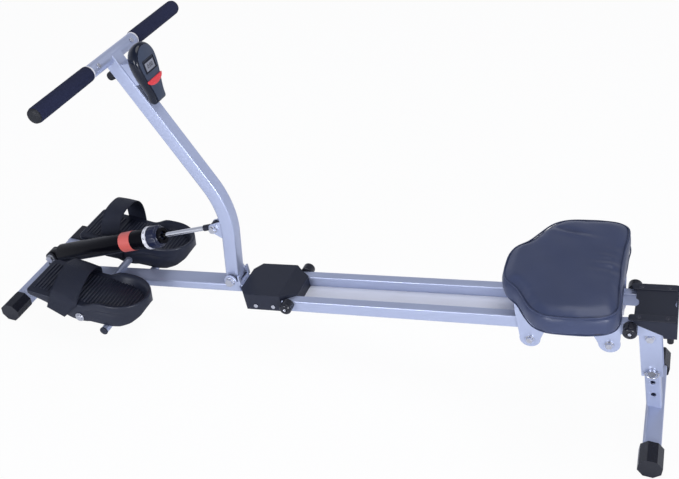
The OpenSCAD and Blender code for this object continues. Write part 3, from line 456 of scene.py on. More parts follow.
def inset(outline, d):
    """Closed 2D outline moved inwards by d along its mitred normals (counter-clockwise outline)."""
    p = np.asarray(outline, float)
    ahead, back = np.roll(p, -1, 0) - p, p - np.roll(p, 1, 0)
    ahead /= np.linalg.norm(ahead, axis=1, keepdims=True)
    back /= np.linalg.norm(back, axis=1, keepdims=True)
    n1, n2 = np.stack([-ahead[:, 1], ahead[:, 0]], 1), np.stack([-back[:, 1], back[:, 0]], 1)
    mitre, sharpest = n1 + n2, 0.35
    mitre /= np.maximum(np.sum(mitre * n1, 1, keepdims=True), sharpest)
    return p + d * mitre


def bezier(a, b, c, d, steps):
    """Points of a cubic curve, without its last one."""
    t = (np.arange(steps) / steps)[:, None]
    a, b, c, d = (np.array(q, float) for q in (a, b, c, d))
    return (1 - t) ** 3 * a + 3 * t * (1 - t) ** 2 * b + 3 * t * t * (1 - t) * c + t ** 3 * d


def stand_in(obj, node):
    """obj takes the place of this CAD node on its body."""
    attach(obj, BODY_OF[node])
    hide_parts(node)
    return obj


def extra(obj, node):
    """obj is a detail that rides with a CAD node's body."""
    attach(obj, BODY_OF[node])
    return obj


def refined(node, width, segments=2):
    """A merged copy of a CAD node, its crisp edges rounded by width millimetres, stands for the node."""
    crisp = math.radians(38)
    mesh = NODES[node].data.copy()
    bm = bmesh.new()
    bm.from_mesh(mesh)
    bmesh.ops.remove_doubles(bm, verts=bm.verts, dist=2e-6)
    bmesh.ops.dissolve_limit(bm, angle_limit=0.01, verts=bm.verts, edges=bm.edges)
    bm.to_mesh(mesh)
    bm.free()
    mesh.materials.clear()
    mesh.materials.append(material_for(node))
    mesh.shade_smooth()
    mesh.set_sharp_from_angle(angle=crisp)
    obj = bpy.data.objects.new(node + "_finish", mesh)
    bpy.context.scene.collection.objects.link(obj)
    if width:
        round_edges = obj.modifiers.new("edges", "BEVEL")
        round_edges.width, round_edges.segments = width / 1000, segments
        round_edges.limit_method, round_edges.angle_limit = "ANGLE", crisp
        round_edges.harden_normals = True
    return stand_in(obj, node)


# ---------- Handlebar post ----------
BEND_R, LEAN = 194.0, math.radians(35.4)
BEND_START = RISE - REACH / math.tan(LEAN) - BEND_R * math.tan(LEAN / 2)


def post_outline(w):
    """Side view of the post w wide: round foot, straight, arc and straight on each side, as (x, z)."""
    foot = np.linspace(math.pi, 2 * math.pi, 17)
    foot = w / 2 * np.stack([np.cos(foot), np.sin(foot)], 1)
    a = np.linspace(0, LEAN, 25)[:, None]

    def edge(off):
        arc = np.array([-BEND_R, BEND_START]) + (BEND_R + off) * np.hstack([np.cos(a), np.sin(a)])
        top = np.array([[-REACH, RISE]]) + off * np.array([[math.cos(LEAN), math.sin(LEAN)]])
        low = [arc[0] * [1, 0] + [0, BEND_START * k] for k in (0.25, 0.6)]
        high = [arc[-1] + (top[0] - arc[-1]) * k for k in (0.35, 0.7)]
        return np.vstack([low, arc, high, top])

    return np.vstack([foot, edge(w / 2), edge(-w / 2)[::-1]])


def make_post():
    """The bent square post: its side view at six depths a side, drawn in round the corner radius r."""
    half, r = 14.5, 3.2
    turn = np.linspace(0, math.pi / 2, 6)
    insets = r * (1 - np.sin(turn))
    depths = half - r + r * np.cos(turn)
    rings = [(-y, i) for y, i in zip(depths, insets)] + [(y, i) for y, i in zip(depths[::-1], insets[::-1])]
    skin = []
    for y, i in rings:
        flat = post_outline(2 * (half - i))
        skin.append(AT_PIVOT.at(np.stack([flat[:, 0], np.full(len(flat), y), flat[:, 1]], 1)))
    stand_in(add_stack("handlebar_post_finish", skin, SILVER, smooth=30), "handlebar_post")


# ---------- Handlebar ----------
def make_grips():
    """Foam grip with a domed end, rubber plug and pale collar, each turned about the handle's axis."""
    start, end, round_r = 79.6, 242.5, 3.8
    quarter = np.linspace(0, math.pi / 2, 7)
    dome = [(14.5 - round_r * (1 - math.cos(a)), end - round_r + round_r * math.sin(a)) for a in quarter]
    for side, name in ((1, "left"), (-1, "right")):
        profile = [(11.0, start), (13.4, start), (14.3, start + 0.9), (14.5, start + 2.4), (14.6, 120),
                   (14.55, 170), (14.6, 215)] + dome + [(0.02, end)]
        profile = [(r, side * h) for r, h in profile]
        grip = lathe(f"{name}_grip", profile, AT_HANDLE, "y", FOAM, 56)
        (stand_in if side == 1 else extra)(grip, "foam_grips")
        cap = [(0.02, 246.4), (7.0, 246.3), (11.2, 245.4), (13.2, 243.6), (13.6, 241.6), (9.0, 240.6)]
        end_cap = lathe(f"{name}_grip_end", [(r, side * h) for r, h in cap], AT_HANDLE, "y", RUBBER, 56)
        (stand_in if side == 1 else extra)(end_cap, "grip_end_caps")
        ring = [(11.1, 75.6), (13.0, 75.7), (13.5, 76.3), (13.5, 78.7), (13.0, 79.4), (11.1, 79.5)]
        collar = lathe(f"{name}_collar", [(r, side * h) for r, h in ring], AT_HANDLE, "y", WHITE, 56)
        (stand_in if side == 1 else extra)(collar, "handle_collars")


# ---------- Seat ----------
SEAT_S, PAD_BASE, PAD_H, PAD_W = 1158.0, 40.0, 212 / 2, 300 / 2
PAD_EDGE, PAD_TOP = 41.0, 43.6
SWOLLEN_LOW, SWOLLEN_TOP = -1.3, 51.0


def pad_outline():
    """Plan of the pad: round nose, flared flanks, broad square rear, counter-clockwise, as (x, y)."""
    h, w = PAD_H, PAD_W
    nose = w * 0.36
    half = np.vstack([
        [[-h, 0]],
        bezier([-h, nose * 0.3], [-h, nose * 0.75], [-h + 8, nose], [-h * 0.83, w * 0.42], 14),
        bezier([-h * 0.83, w * 0.42], [-h * 0.56, w * 0.56], [-h * 0.46, w * 0.97], [0, w], 26),
        bezier([0, w], [h * 0.3, w * 1.01], [h * 0.55, w * 0.99], [h * 0.74, w * 0.96], 14),
        bezier([h * 0.74, w * 0.96], [h * 0.95, w * 0.93], [h, w * 0.85], [h, w * 0.62], 16),
        [[h, w * 0.4], [h, w * 0.2], [h, 0]],
    ])
    other = half[1:-1][::-1] * [1, -1]
    return np.vstack([half, other])[::-1]


def crown(x, y):
    """Rise of the pad's top over its edge at (x, y): a broad crown with a shallow hollow at the rear."""
    r = np.clip(1 - (x / 112) ** 2, 0, 1) * np.clip(1 - (y / 158) ** 2, 0, 1)
    return 7.5 * r ** 0.6 - 3.0 * np.exp(-((x - 30) ** 2 + y ** 2) / 3200)


def folds(x, y):
    """Creases of the vinyl: a long dent on the left flank, short ripples at the rear, slow unevenness."""
    along = (x - 5) * 0.95 + (y - 97) * -0.31
    across = (x - 5) * 0.31 + (y - 97) * 0.95
    reach = np.exp(-(along / 32) ** 2)
    dent = reach * (1.8 * np.exp(-((across + 12) / 7) ** 2) - 3.6 * np.exp(-(across / 6.5) ** 2))
    ripple = 0.9 * np.sin(y / 3.9 + 0.03 * x) * np.exp(-((x - 78) / 24) ** 2) * np.exp(-((y - 4) / 30) ** 2)
    soft = 0.9 * np.sin(x / 23 + 1.3) * np.sin(y / 31 + 0.4) + 0.5 * np.sin(x / 11 + y / 17)
    return dent + ripple + soft


def make_seat():
    """The pad: rings from the underside's middle round the sides to the crown, swollen, creased and piped."""
    outline = pad_outline()
    n = len(outline)
    sides = [(9.0, 0.6), (3.2, 0.4), (1.2, 2.0), (0.4, 5.0), (-0.2, 13.0), (-0.6, 21.0), (-0.2, 29.0),
             (0.6, 34.5), (2.2, 38.6), (4.6, PAD_EDGE), (8.0, 42.6), (13.0, PAD_TOP)]
    rings = []
    for k in (0.06, 0.3, 0.6, 0.85):
        flat = outline * k
        rings.append(np.column_stack([flat, np.full(n, 0.6)]))
    for d, z in sides:
        flat = inset(outline, d)
        rings.append(np.column_stack([flat, np.full(n, float(z))]))
    rim = inset(outline, 13.0)
    for k in (0.93, 0.84, 0.74, 0.62, 0.5, 0.38, 0.26, 0.15, 0.06):
        flat = rim * k
        rings.append(np.column_stack([flat, PAD_TOP + crown(flat[:, 0], flat[:, 1])]))
    rings = np.array(rings)
    place = Place(on_rail(SEAT_S, PAD_BASE), PITCH)
    pad = add_stack("seat_cushion", place.at(rings), VINYL, smooth=60)
    inflate(pad, voxel=0.005, cap=0.0045)
    refit(pad, place, outline)
    crease(pad, place)
    stand_in(pad, "seat_pad")
    for name, z, r in (("seat_piping_top", 40.0, 1.5), ("seat_piping_low", 5.0, 1.3)):
        line = place.at(rim_line(pad, place, outline, z))
        extra(add_loop(name, line, r / 1000, VINYL), "seat_pad")


def in_place(obj, place):
    """The object's points in a place's own millimetres."""
    p = read_points(obj.data) * 1000 + [AXLE_SPAN / 2, 0, 0] - place.origin
    return np.stack([p @ place.x, p @ place.y, p @ place.z], 1)


def refit(pad, place, outline):
    """Scales the swollen pad back to its plan and to its own height."""
    p = in_place(pad, place)
    low, high = p.min(0), p.max(0)
    want_low, want_high = np.append(outline.min(0), SWOLLEN_LOW), np.append(outline.max(0), SWOLLEN_TOP)
    write_points(pad.data, place.at(want_low + (p - low) / (high - low) * (want_high - want_low)))


def rim_line(pad, place, outline, z):
    """Closed line round the pad at height z.

    It is the greatest reach of the points within band of z and within window radians of each of the outline's
    bearings, less sink, smoothed over its neighbours.
    """
    band, window, sink = 2.0, 0.04, 0.9
    p = in_place(pad, place)
    p = p[np.abs(p[:, 2] - z) < band]
    bearing, reach = np.arctan2(p[:, 1], p[:, 0]), np.hypot(p[:, 0], p[:, 1])
    ring = resampled(outline, 150)
    turn = np.arctan2(ring[:, 1], ring[:, 0])
    near = np.abs(np.angle(np.exp(1j * (bearing[None, :] - turn[:, None])))) < window
    r = np.where(near, reach[None, :], 0).max(1) - sink
    wide = np.concatenate([r[-3:], r, r[:3]])
    kernel = np.hanning(9)
    r = np.convolve(wide, kernel[1:-1] / kernel.sum(), "valid")
    return np.column_stack([r * np.cos(turn), r * np.sin(turn), np.full(len(r), float(z))])


def inflate(obj, voxel, cap):
    """Cloth under inner pressure with no gravity, each point held within cap metres of where it started."""
    bpy.context.view_layer.objects.active = obj
    remesh = obj.modifiers.new("even", "REMESH")
    remesh.mode, remesh.voxel_size = "VOXEL", voxel
    replace_by_result(obj)
    start = read_points(obj.data)
    cloth = obj.modifiers.new("cloth", "CLOTH")
    cloth.settings.quality = 6
    cloth.settings.mass = 0.3
    cloth.settings.tension_stiffness = cloth.settings.compression_stiffness = 12
    cloth.settings.bending_stiffness = 0.6
    cloth.settings.use_pressure = True
    cloth.settings.uniform_pressure_force = 4.0
    cloth.settings.effector_weights.gravity = 0.0
    last = 20
    cloth.point_cache.frame_start, cloth.point_cache.frame_end = 1, last
    scene = bpy.context.scene
    for f in range(1, last + 1):
        scene.frame_set(f)
    replace_by_result(obj)
    scene.frame_set(1)
    end = read_points(obj.data)
    move = end - start
    length = np.linalg.norm(move, axis=1, keepdims=True)
    end = start + move * np.minimum(1, cap / np.maximum(length, 1e-9))
    write_points(obj.data, end)
    smooth = obj.modifiers.new("even", "SMOOTH")
    smooth.factor, smooth.iterations = 0.5, 3
    finer = obj.modifiers.new("finer", "SUBSURF")
    finer.levels = finer.render_levels = 1
    replace_by_result(obj)


def replace_by_result(obj):
    """The object's modifiers become its mesh."""
    graph = bpy.context.evaluated_depsgraph_get()
    made = bpy.data.meshes.new_from_object(obj.evaluated_get(graph))
    obj.modifiers.clear()
    obj.data = made
    made.shade_smooth()


def read_points(mesh):
    co = np.empty(len(mesh.vertices) * 3)
    mesh.vertices.foreach_get("co", co)
    return co.reshape(-1, 3)


def write_points(mesh, points):
    mesh.vertices.foreach_set("co", np.ascontiguousarray(points, np.float32).ravel())
    mesh.update()


def crease(pad, place):
    """Moves the pad's top by its folds, full over the top face and fading down the sides."""
    p = in_place(pad, place)
    share = np.clip((p[:, 2] - (PAD_EDGE - 6)) / 10, 0, 1)
    lift = share * folds(p[:, 0], p[:, 1])
    write_points(pad.data, read_points(pad.data) + lift[:, None] / 1000 * place.z)


def add_loop(name, path, radius, mat, sides=8):
    """Round cord of that radius carried round a closed path of points in metres."""
    ahead = np.roll(path, -1, 0) - np.roll(path, 1, 0)
    ahead /= np.linalg.norm(ahead, axis=1, keepdims=True)
    up = np.array([0.1, 0.05, 1.0])
    a = np.cross(ahead, up)
    a /= np.linalg.norm(a, axis=1, keepdims=True)
    b = np.cross(ahead, a)
    t = np.linspace(0, 2 * math.pi, sides, endpoint=False)
    round_it = np.cos(t)[None, :, None] * a[:, None] + np.sin(t)[None, :, None] * b[:, None]
    rings = path[:, None] + radius * round_it
    faces = grid_faces(len(path), sides, loop_rows=True, loop_cols=True)
    return add_mesh(name, rings.reshape(-1, 3), faces, mat, 60)


# ---------- Pedals ----------
TOE, HEEL, PEDAL_HALF, GROOVE = 124.0, 136.0, 56.0, 1.7
HEEL_ARC_X, RIM_Z = 66.0, 46.0


def plate_z(x):
    """Height of the foot plate, which falls slightly towards the heel."""
    return 41 - 0.075 * (x + TOE)


def pedal_outline(d):
    """Plan of a pedal, inset by d: square toe with round corners, elliptic heel, counter-clockwise."""
    w, t, h, x0 = PEDAL_HALF - d, -TOE + d, HEEL - d, HEEL_ARC_X
    toe = bezier([t, w - 10], [t, w - 3], [t + 3, w], [t + 10, w], 6)
    flank = np.column_stack([np.linspace(t + 10, x0, 22)[:-1], np.full(21, w)])
    a = np.linspace(math.pi / 2, 0, 22)
    heel = np.column_stack([x0 + (h - x0) * np.cos(a), w * np.sin(a)])
    half = np.vstack([[[t, 0]], toe, flank, heel])
    return np.vstack([half, half[1:-1][::-1] * [1, -1]])[::-1]


def pedal_heights(x):
    """Bottom and top edge of the pedal's outer wall at each x."""
    bottom = np.interp(x, [-124, -78, -24, -10, 12, 20, 72, 92, 112, 128, 136],
                       [32, 18, -8, -10.5, -10.5, -7, -7, -5.5, 0.5, 12, 24])
    s = np.clip((x - 6) / 42, 0, 1)
    top = plate_z(x) + (RIM_Z - plate_z(x)) * s * s * (3 - 2 * s)
    return bottom, top


def make_pedal(side, name):
    """Footrest skin: rings of its plan, each a depth inside it and a height above the bottom, rim or plate.

    Wall heights are a share of the way from bottom to rim, and the rim's slope goes in to the plate; a groove
    runs along the heel wall, its depth a smooth window over x.
    """
    place = at_pedal(side)
    x0 = pedal_outline(0)[:, 0]
    low, top = pedal_heights(x0)
    window = np.clip((x0 - 2) / 20, 0, 1) * np.clip((112 - x0) / 40, 0, 1)
    cup = np.clip((x0 - 6) / 42, 0, 1)
    wall = [(14, 0.0, 0.0), (2.0, 0.0, 0.0), (0.5, 0.0, 0.6), (0.0, 0.0, 2.0), (0.0, 0.55, 0.0),
            (GROOVE, 0.59, 0.0), (GROOVE, 0.64, 0.0), (0.0, 0.68, 0.0), (0.0, 1.0, -3.0), (0.7, 1.0, -1.1),
            (2.2, 1.0, 0.0)]
    rings = []
    for d, share, dz in wall:
        depth = GROOVE * window if d == GROOVE else d
        rings.append(np.column_stack([inset_ring(depth), low + (top - low) * share + dz]))
    for d, share in ((5.5, 0.03), (9.0, 0.16), (12.5, 0.45), (15.0, 0.80), (16.5, 0.97)):
        flat = inset_ring(3 + (d - 3) * (0.45 + 0.55 * cup))
        plate = plate_z(flat[:, 0])
        rings.append(np.column_stack([flat, top + (plate - top) * share - 0.3]))
    rings = np.array(rings)
    k, n = rings.shape[:2]
    faces = grid_faces(k, n, loop_cols=True)
    i = np.arange(n // 2)
    for start in (0, (k - 1) * n):
        quads = [start + i, start + i + 1, start + (n - 2 - i) % n, start + (n - 1 - i) % n]
        faces += np.stack(quads, 1).tolist()
    body = add_mesh(f"{name}_pedal_plate", place.at(rings.reshape(-1, 3)), faces, PEDAL, 50)
    stand_in(body, f"{name}_pedal")
    bars(f"{name}_pedal_ribs", place, f"{name}_pedal")


def inset_ring(d):
    """The pedal's plan moved in by d, one number or one for each of its points."""
    flat = pedal_outline(0)
    return inset(flat, np.broadcast_to(np.asarray(d, float), (len(flat),))[:, None])


def bars(name, place, node):
    """Rounded ribs across the plate, each an arch 4.6 mm wide and 2.2 mm high, shorter in the round heel."""
    pitch, full, heel_depth, shortest = 7.6, PEDAL_HALF - 15, 56, 14
    xs = np.concatenate([np.arange(-112, -58, pitch), np.arange(-46, 112, pitch)])
    round_heel = full * np.sqrt(np.clip(1 - ((xs - HEEL_ARC_X) / heel_depth) ** 2, 0, 1))
    reach = np.where(xs > HEEL_ARC_X, round_heel, full)
    keep = reach > shortest
    xs, reach = xs[keep], reach[keep]
    arch = np.array([[-2.3, -0.8], [-1.9, 1.3], [-0.9, 2.2], [0.9, 2.2], [1.9, 1.3], [2.3, -0.8]])
    ends = np.array([-1.0, -0.98, 0.98, 1.0])
    drop = np.array([0.4, 1.0, 1.0, 0.4])
    x = xs[:, None, None] + arch[None, None, :, 0]
    x = np.broadcast_to(x, (len(xs), 4, 6))
    y = np.broadcast_to((reach[:, None] * ends)[:, :, None], x.shape)
    z = plate_z(x) + arch[None, None, :, 1] * drop[None, :, None]
    points = np.stack([x, y, z], -1)
    faces = []
    for b in range(len(xs)):
        faces += grid_faces(4, 6, loop_cols=True, start=b * 24)
        faces += [[b * 24 + j for j in range(6)], [b * 24 + 18 + j for j in range(6)]]
    extra(add_mesh(name, place.at(points.reshape(-1, 3)), faces, PEDAL, 50), node)


# ---------- Straps ----------
def make_strap(side, name, front, rear, slack):
    """Webbing ruled between its front and rear edge, each a list of (x, y, z) smoothed along its length.

    slack lifts the middle of its width, and UV runs in millimetres along and across.
    """
    steps, cols, width = 110, 13, 56.0
    kernel = np.hanning(13) / np.hanning(13).sum()

    def smooth_edge(points):
        points = np.asarray(points, float)
        step = np.concatenate([[0], np.cumsum(np.linalg.norm(np.diff(points, axis=0), axis=1))])
        fine = np.linspace(0, step[-1], steps)
        line = np.stack([np.interp(fine, step, points[:, i]) for i in range(3)], 1)
        wide = np.vstack([2 * line[0] - line[6:0:-1], line, 2 * line[-1] - line[-2:-8:-1]])
        return fine, np.stack([np.convolve(wide[:, i], kernel, "valid") for i in range(3)], 1)

    fine, a = smooth_edge(front)
    b = smooth_edge(rear)[1]
    across = np.linspace(0, 1, cols)
    grid = a[:, None] + (b - a)[:, None] * across[None, :, None]
    grid[..., 2] += slack * np.sin(math.pi * across)[None, :] * np.sin(math.pi * fine / fine[-1])[:, None]
    grid[..., 1] *= side
    uv = np.stack(np.meshgrid(fine, across * width, indexing="ij"), -1)
    points = at_pedal(side).at(grid.reshape(-1, 3))
    obj = add_mesh(f"{name}_strap_webbing", points, grid_faces(steps, cols), WEB, 60, uv)
    thick = obj.modifiers.new("thickness", "SOLIDIFY")
    thick.thickness, thick.offset = 0.002, 0.0
    stand_in(obj, f"{name}_strap")


def make_straps():
    """The far strap is an open arch; the near one is lower, folds at the edge and ends in a loose tail."""
    half, z0 = 57.6, plate_z(-35.5) + 3
    a = np.linspace(0, math.pi, 25)
    y = half * np.abs(np.cos(a)) ** 0.7 * np.sign(np.cos(a))
    arch = np.vstack([[[half, -2]], np.column_stack([y, z0 + 69 * np.sin(a) ** 0.9]), [[-half, -2]]])
    make_strap(1, "left", np.insert(arch, 0, -60.0, 1), np.insert(arch, 0, -14.0, 1), 1.0)
    front = [(-60, -57.8, 20), (-61, -57.6, 44), (-62, -54, 56), (-62, -40, 66), (-62, -12, 74),
             (-61, 18, 70), (-60, 44, 60), (-60, 55, 54.5), (-60.4, 57.6, 51.5), (-64, 58.4, 38),
             (-75, 59.6, 10)]
    rear = [(-10, -57.8, 20), (-9, -57.6, 36), (-7, -54, 48), (-5, -40, 59), (-3, -12, 66), (-3, 18, 57),
            (-2, 44, 42), (-1, 55, 34), (-0.6, 57.6, 30.5), (-14, 58.4, 16), (-36, 59.6, -7)]
    make_strap(-1, "right", front, rear, 3.0)


# ---------- Monitor ----------
def face_outline(d):
    """Teardrop outline of the monitor in its own plane, inset by d, as (y, z), counter-clockwise."""
    r, low, c, lh = 33 - d, -57.5 + d, 24.5, 19 - d
    a = np.linspace(0, math.pi, 31)
    top = np.column_stack([r * np.cos(a), c + r * np.sin(a)])
    left = bezier([-r, c], [-r, c - 30], [-lh, low + 26], [-lh, low + 7], 12)[1:]
    foot_l = bezier([-lh, low + 7], [-lh, low], [-lh, low], [-lh + 7, low], 6)
    foot_r = bezier([lh - 7, low], [lh, low], [lh, low], [lh, low + 7], 6)
    right = bezier([lh, low + 7], [lh, low + 26], [r, c - 30], [r, c], 12)
    return np.vstack([top, left, foot_l, foot_r, right])


def box_ring(w, h, z, x, corner=1.2):
    """Rounded rectangle in the monitor's plane, w by h about height z, at depth x."""
    t = np.linspace(0, math.pi / 2, 5)
    turns = np.concatenate([t + k * math.pi / 2 for k in range(4)])
    sign_y = np.repeat([1, -1, -1, 1], 5)
    sign_z = np.repeat([1, 1, -1, -1], 5)
    y = sign_y * (w / 2 - corner) + corner * np.cos(turns)
    return np.column_stack([np.full(20, float(x)), y, z + sign_z * (h / 2 - corner) + corner * np.sin(turns)])


def on_display(points):
    """Flat text points laid just over the display's glass."""
    proud, centre_z = 0.42, 13.4
    return AT_FACE.at(np.column_stack([np.full(len(points), proud), points[:, 0], centre_z + points[:, 1]]))


def make_monitor():
    """Monitor shell, face panel, display with its rim and digits, crescent button and bracket."""
    skin = []
    for x, d in ((-28, 17), (-27.6, 13), (-26.6, 9.5), (-24, 6), (-20, 3.4), (-15, 1.2), (-11, 0.2),
                 (-8, 0.0), (-5.5, 0.6), (-3.4, 1.8), (-1.8, 3.3), (-0.8, 4.9), (-0.5, 6.0)):
        flat = face_outline(d)
        skin.append(AT_FACE.at(np.column_stack([np.full(len(flat), float(x)), flat])))
    stand_in(add_stack("monitor_shell", skin, GLOSS, 50), "monitor_housing")
    count = 91
    panel = [AT_FACE.at(np.column_stack([np.full(count, float(x)), resampled(face_outline(d), count)]))
             for x, d in ((-1.4, 5.2), (-0.3, 5.3), (0.0, 5.8))]
    stand_in(add_stack("monitor_panel", panel, PANEL, 40), "monitor_face")
    rim_steps = ((39, 25, -0.3), (38.6, 24.6, 0.7), (37.4, 23.4, 0.9), (35.4, 21.4, 0.3), (35.4, 21.4, 0.05))
    rim = [AT_FACE.at(box_ring(w, h, 15, x)) for w, h, x in rim_steps]
    extra(add_stack("display_rim", rim, GLOSS, 40), "monitor_face")
    glass_steps = ((29, 15.6, 0.0), (29, 15.6, 0.28), (28.4, 15, 0.34))
    glass = [AT_FACE.at(box_ring(w, h, 13.4, x, 0.6)) for w, h, x in glass_steps]
    stand_in(add_stack("display_glass", glass, LCD, 40), "monitor_display")
    extra(lettering("display_digits", "0:00", 11, on_display), "monitor_display")
    crescents = []
    a, button_z = np.linspace(math.pi, 2 * math.pi, 37), -9.4
    for x, w, h in ((-0.6, 25, 13), (1.1, 25, 13), (1.8, 24.3, 12.3), (2.0, 23, 11.2)):
        flat = np.column_stack([w * np.cos(a), button_z + h * np.sin(a)])
        crescents.append(AT_FACE.at(np.column_stack([np.full(len(a), x), flat])))
    stand_in(add_stack("crescent_button", crescents, RED, 40), "monitor_button")
    bracket = refined("monitor_bracket", 1.2)


def resampled(outline, count):
    """Closed outline with count points at even steps along it."""
    ring = np.vstack([outline, outline[:1]])
    step = np.concatenate([[0], np.cumsum(np.linalg.norm(np.diff(ring, axis=0), axis=1))])
    fine = np.linspace(0, step[-1], count, endpoint=False)
    return np.stack([np.interp(fine, step, ring[:, i]) for i in range(2)], 1)


def lettering(name, words, size, place_on):
    """Plain digits as a thin mesh: flat text, its points put on a surface by place_on."""
    text = bpy.data.curves.new(name, "FONT")
    text.body, text.size, text.align_x, text.align_y = words, size, "CENTER", "CENTER"
    text.resolution_u = 3
    obj = bpy.data.objects.new(name + "_outline", text)
    bpy.context.scene.collection.objects.link(obj)
    bpy.context.view_layer.update()
    flat = bpy.data.meshes.new_from_object(obj.evaluated_get(bpy.context.evaluated_depsgraph_get()))
    bpy.data.objects.remove(obj)
    made = add_mesh(name, place_on(read_points(flat)), [list(f.vertices) for f in flat.polygons], INK, 60)
    thick = made.modifiers.new("thickness", "SOLIDIFY")
    thick.thickness = 0.0001
    return made


# ---------- Cylinder ----------
GRIP_LOBES, DIAL_R, DIAL_MIDDLE, DIAL_COUNT = 16, 24.6, 4.7, 12


def knob_ripple(angle):
    """Radius factor of the knob's grip: squared-off waves one hundredth deep."""
    wave = np.cos(GRIP_LOBES * angle)
    return 1 + 0.010 * np.sign(wave) * np.abs(wave) ** 0.4


def make_cylinder():
    """Cylinder, band, rod and eye after the CAD; knob and number ring turned about the cylinder's axis."""
    refined("cylinder_body", 1.0)
    refined("cylinder_band", 0.15, 1)
    refined("piston_rod", 0.5)
    refined("rod_eye", 0.8)
    knob = [(15.2, 0.1), (21.0, 0.1), (22.4, 0.7), (22.6, 9.3), (24.0, 10.1), (24.0, 27.2), (22.8, 30.1),
            (21.0, 31.3), (19.0, 31.6), (18.4, 32.7), (17.6, 33.5), (15.2, 33.6)]
    knob = [(r, KNOB_S + h) for r, h in knob]
    turned = lathe("resistance_knob_finish", knob, AT_CYLINDER, "z", KNOB, 160, 40, knob_ripple)
    stand_in(turned, "resistance_knob")
    ring = [(22.9, 0.2), (24.2, 0.3), (24.5, 0.7), (24.5, 8.6), (24.2, 9.0), (22.9, 9.0)]
    ring = [(r, KNOB_S + h) for r, h in ring]
    stand_in(lathe("number_ring_finish", ring, AT_CYLINDER, "z", WHITE, 72), "number_ring")
    numbers()


def on_ring(turn, points):
    """Flat text points bent onto the number ring at that turn."""
    angle = turn + points[:, 1] / DIAL_R
    height = KNOB_S + DIAL_MIDDLE - points[:, 0]
    return AT_CYLINDER.at(np.column_stack([DIAL_R * np.cos(angle), DIAL_R * np.sin(angle), height]))


def numbers():
    """Dial numbers 1 to 12 round the white ring, each digit 0.1 mm proud of it."""
    for i in range(DIAL_COUNT):
        place_on = partial(on_ring, math.radians(i * 360 / DIAL_COUNT))
        extra(lettering(f"dial_number_{i + 1}", str(i + 1), 7.5, place_on), "number_ring")


# ---------- Covers and bumpers ----------
WALL_FROM_S, WALL_TO_S, WALL_HALF = 632.8, 634.8, 30.6
BUMPER_END, BUMPER_N = 73.0, -8.0
REAR_SCREWS_FROM_X = 0.3


def make_cover_parts():
    """End wall of the front cover under its roof, the rear cover's flanges and the bumpers' screws."""
    wall = [[WALL_FROM_S, -WALL_HALF], [WALL_TO_S, -WALL_HALF], [WALL_TO_S, WALL_HALF],
            [WALL_FROM_S, WALL_HALF]]
    rings = [RAIL.at(np.column_stack([np.array(wall), np.full(4, n)])) for n in (-25.0, -1.4)]
    extra(add_stack("front_cover_end", rings, BLACK, 20), "front_cover")
    for side, where in ((-1, "near"), (1, "far")):
        flange = []
        for d, n in ((0.0, 6.9), (0.0, 7.9), (0.5, 8.3), (1.3, 8.4)):
            plan = rounded_plan(REAR_COVER_S - 9 + d, REAR_COVER_S + 70.5 - d, 35.5 + d, 53.3 - d, 5 - d)
            flange.append(RAIL.at(np.column_stack([plan[:, 0], side * plan[:, 1], np.full(len(plan), n)])))
        extra(add_stack(f"rear_cover_flange_{where}", flange, BLACK, 40), "rear_cover")
    dish = [(0.02, 0.2), (1.4, 0.2), (2.0, 0.7), (3.0, 0.6), (3.4, -0.4)]
    for end, s in (("front", FRONT_BUMPER_S), ("rear", REAR_BUMPER_S)):
        spot = Place(on_rail(s, BUMPER_N), PITCH)
        for side, where in ((-1, "near"), (1, "far")):
            profile = [(r, side * (BUMPER_END + y)) for r, y in dish]
            extra(lathe(f"bumper_screw_{end}_{where}", profile, spot, "y", STEEL, 24), "rail_bumpers")


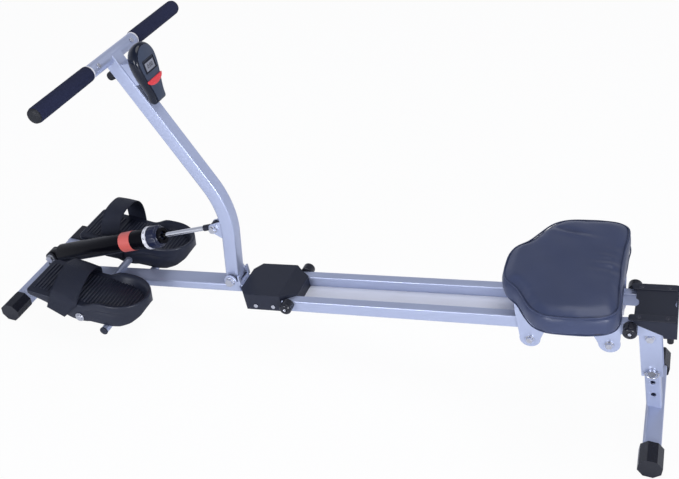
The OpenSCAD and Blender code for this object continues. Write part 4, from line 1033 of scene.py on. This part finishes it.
def rounded_plan(s0, s1, y0, y1, r):
    """Rectangle from (s0, y0) to (s1, y1) with corners rounded by r."""
    t = np.linspace(0, math.pi / 2, 6)
    corners = [(s1 - r, y1 - r, 0), (s0 + r, y1 - r, 1), (s0 + r, y0 + r, 2), (s1 - r, y0 + r, 3)]
    arcs = []
    for cx, cy, quarter in corners:
        angle = t + quarter * math.pi / 2
        arcs.append(np.column_stack([cx + r * np.cos(angle), cy + r * np.sin(angle)]))
    return np.vstack(arcs)


def darken_rear_screws(obj):
    """The four screws on top of the rear cover are black ones."""
    obj.data.materials.append(DARK_STEEL)
    centres = np.empty(len(obj.data.polygons) * 3)
    obj.data.polygons.foreach_get("center", centres)
    rear = centres.reshape(-1, 3)[:, 0] > REAR_SCREWS_FROM_X
    obj.data.polygons.foreach_set("material_index", rear.astype(int))


# ---------- All pieces ----------
EDGES = {
    "front_stabilizer": 0.6, "rear_stabilizer": 0.6, "stabilizer_end_caps": 1.6, "main_beam": 0.5,
    "cylinder_bracket": 0.4, "cylinder_lower_bolt": 0.6, "pedal_axle": 0.5, "pedal_rest_bar": 0.5,
    "rest_bar_plugs": 0.8, "pedal_bolts": 0.6, "pivot_bracket": 0.6, "lever_bolt": 0.7, "joint_channel": 0.3,
    "frame_bolts": 0.5, "seat_rails": 0.3, "rail_floor_plate": 0.3, "front_cover": 0.9, "rear_cover": 0.9,
    "cover_screws": 0.5, "rail_bumpers": 1.2, "rear_crossmember": 0.5, "leg_bracket": 0.6, "leg_post": 0.4,
    "storage_feet": 0.8, "lock_pin": 0.5, "pin_ring": 0.0, "lever_bushes": 0.4, "cylinder_ears": 0.5,
    "cylinder_upper_bolt": 0.6, "post_buffer": 1.5, "handlebar_sleeve": 0.5, "handle_tubes": 0.0,
    "sleeve_screws": 0.6, "seat_board": 0.6, "seat_carriage": 0.6, "roller_bolts": 0.5, "front_rollers": 0.8,
    "rear_rollers": 0.8, "front_lower_rollers": 0.8, "rear_lower_rollers": 0.8,
}

for node_name, width in EDGES.items():
    made_piece = refined(node_name, width)
    if node_name == "cover_screws":
        darken_rear_screws(made_piece)
make_post()
make_grips()
make_seat()
for pedal_side, pedal_name in ((1, "left"), (-1, "right")):
    make_pedal(pedal_side, pedal_name)
make_straps()
make_monitor()
make_cylinder()
make_cover_parts()
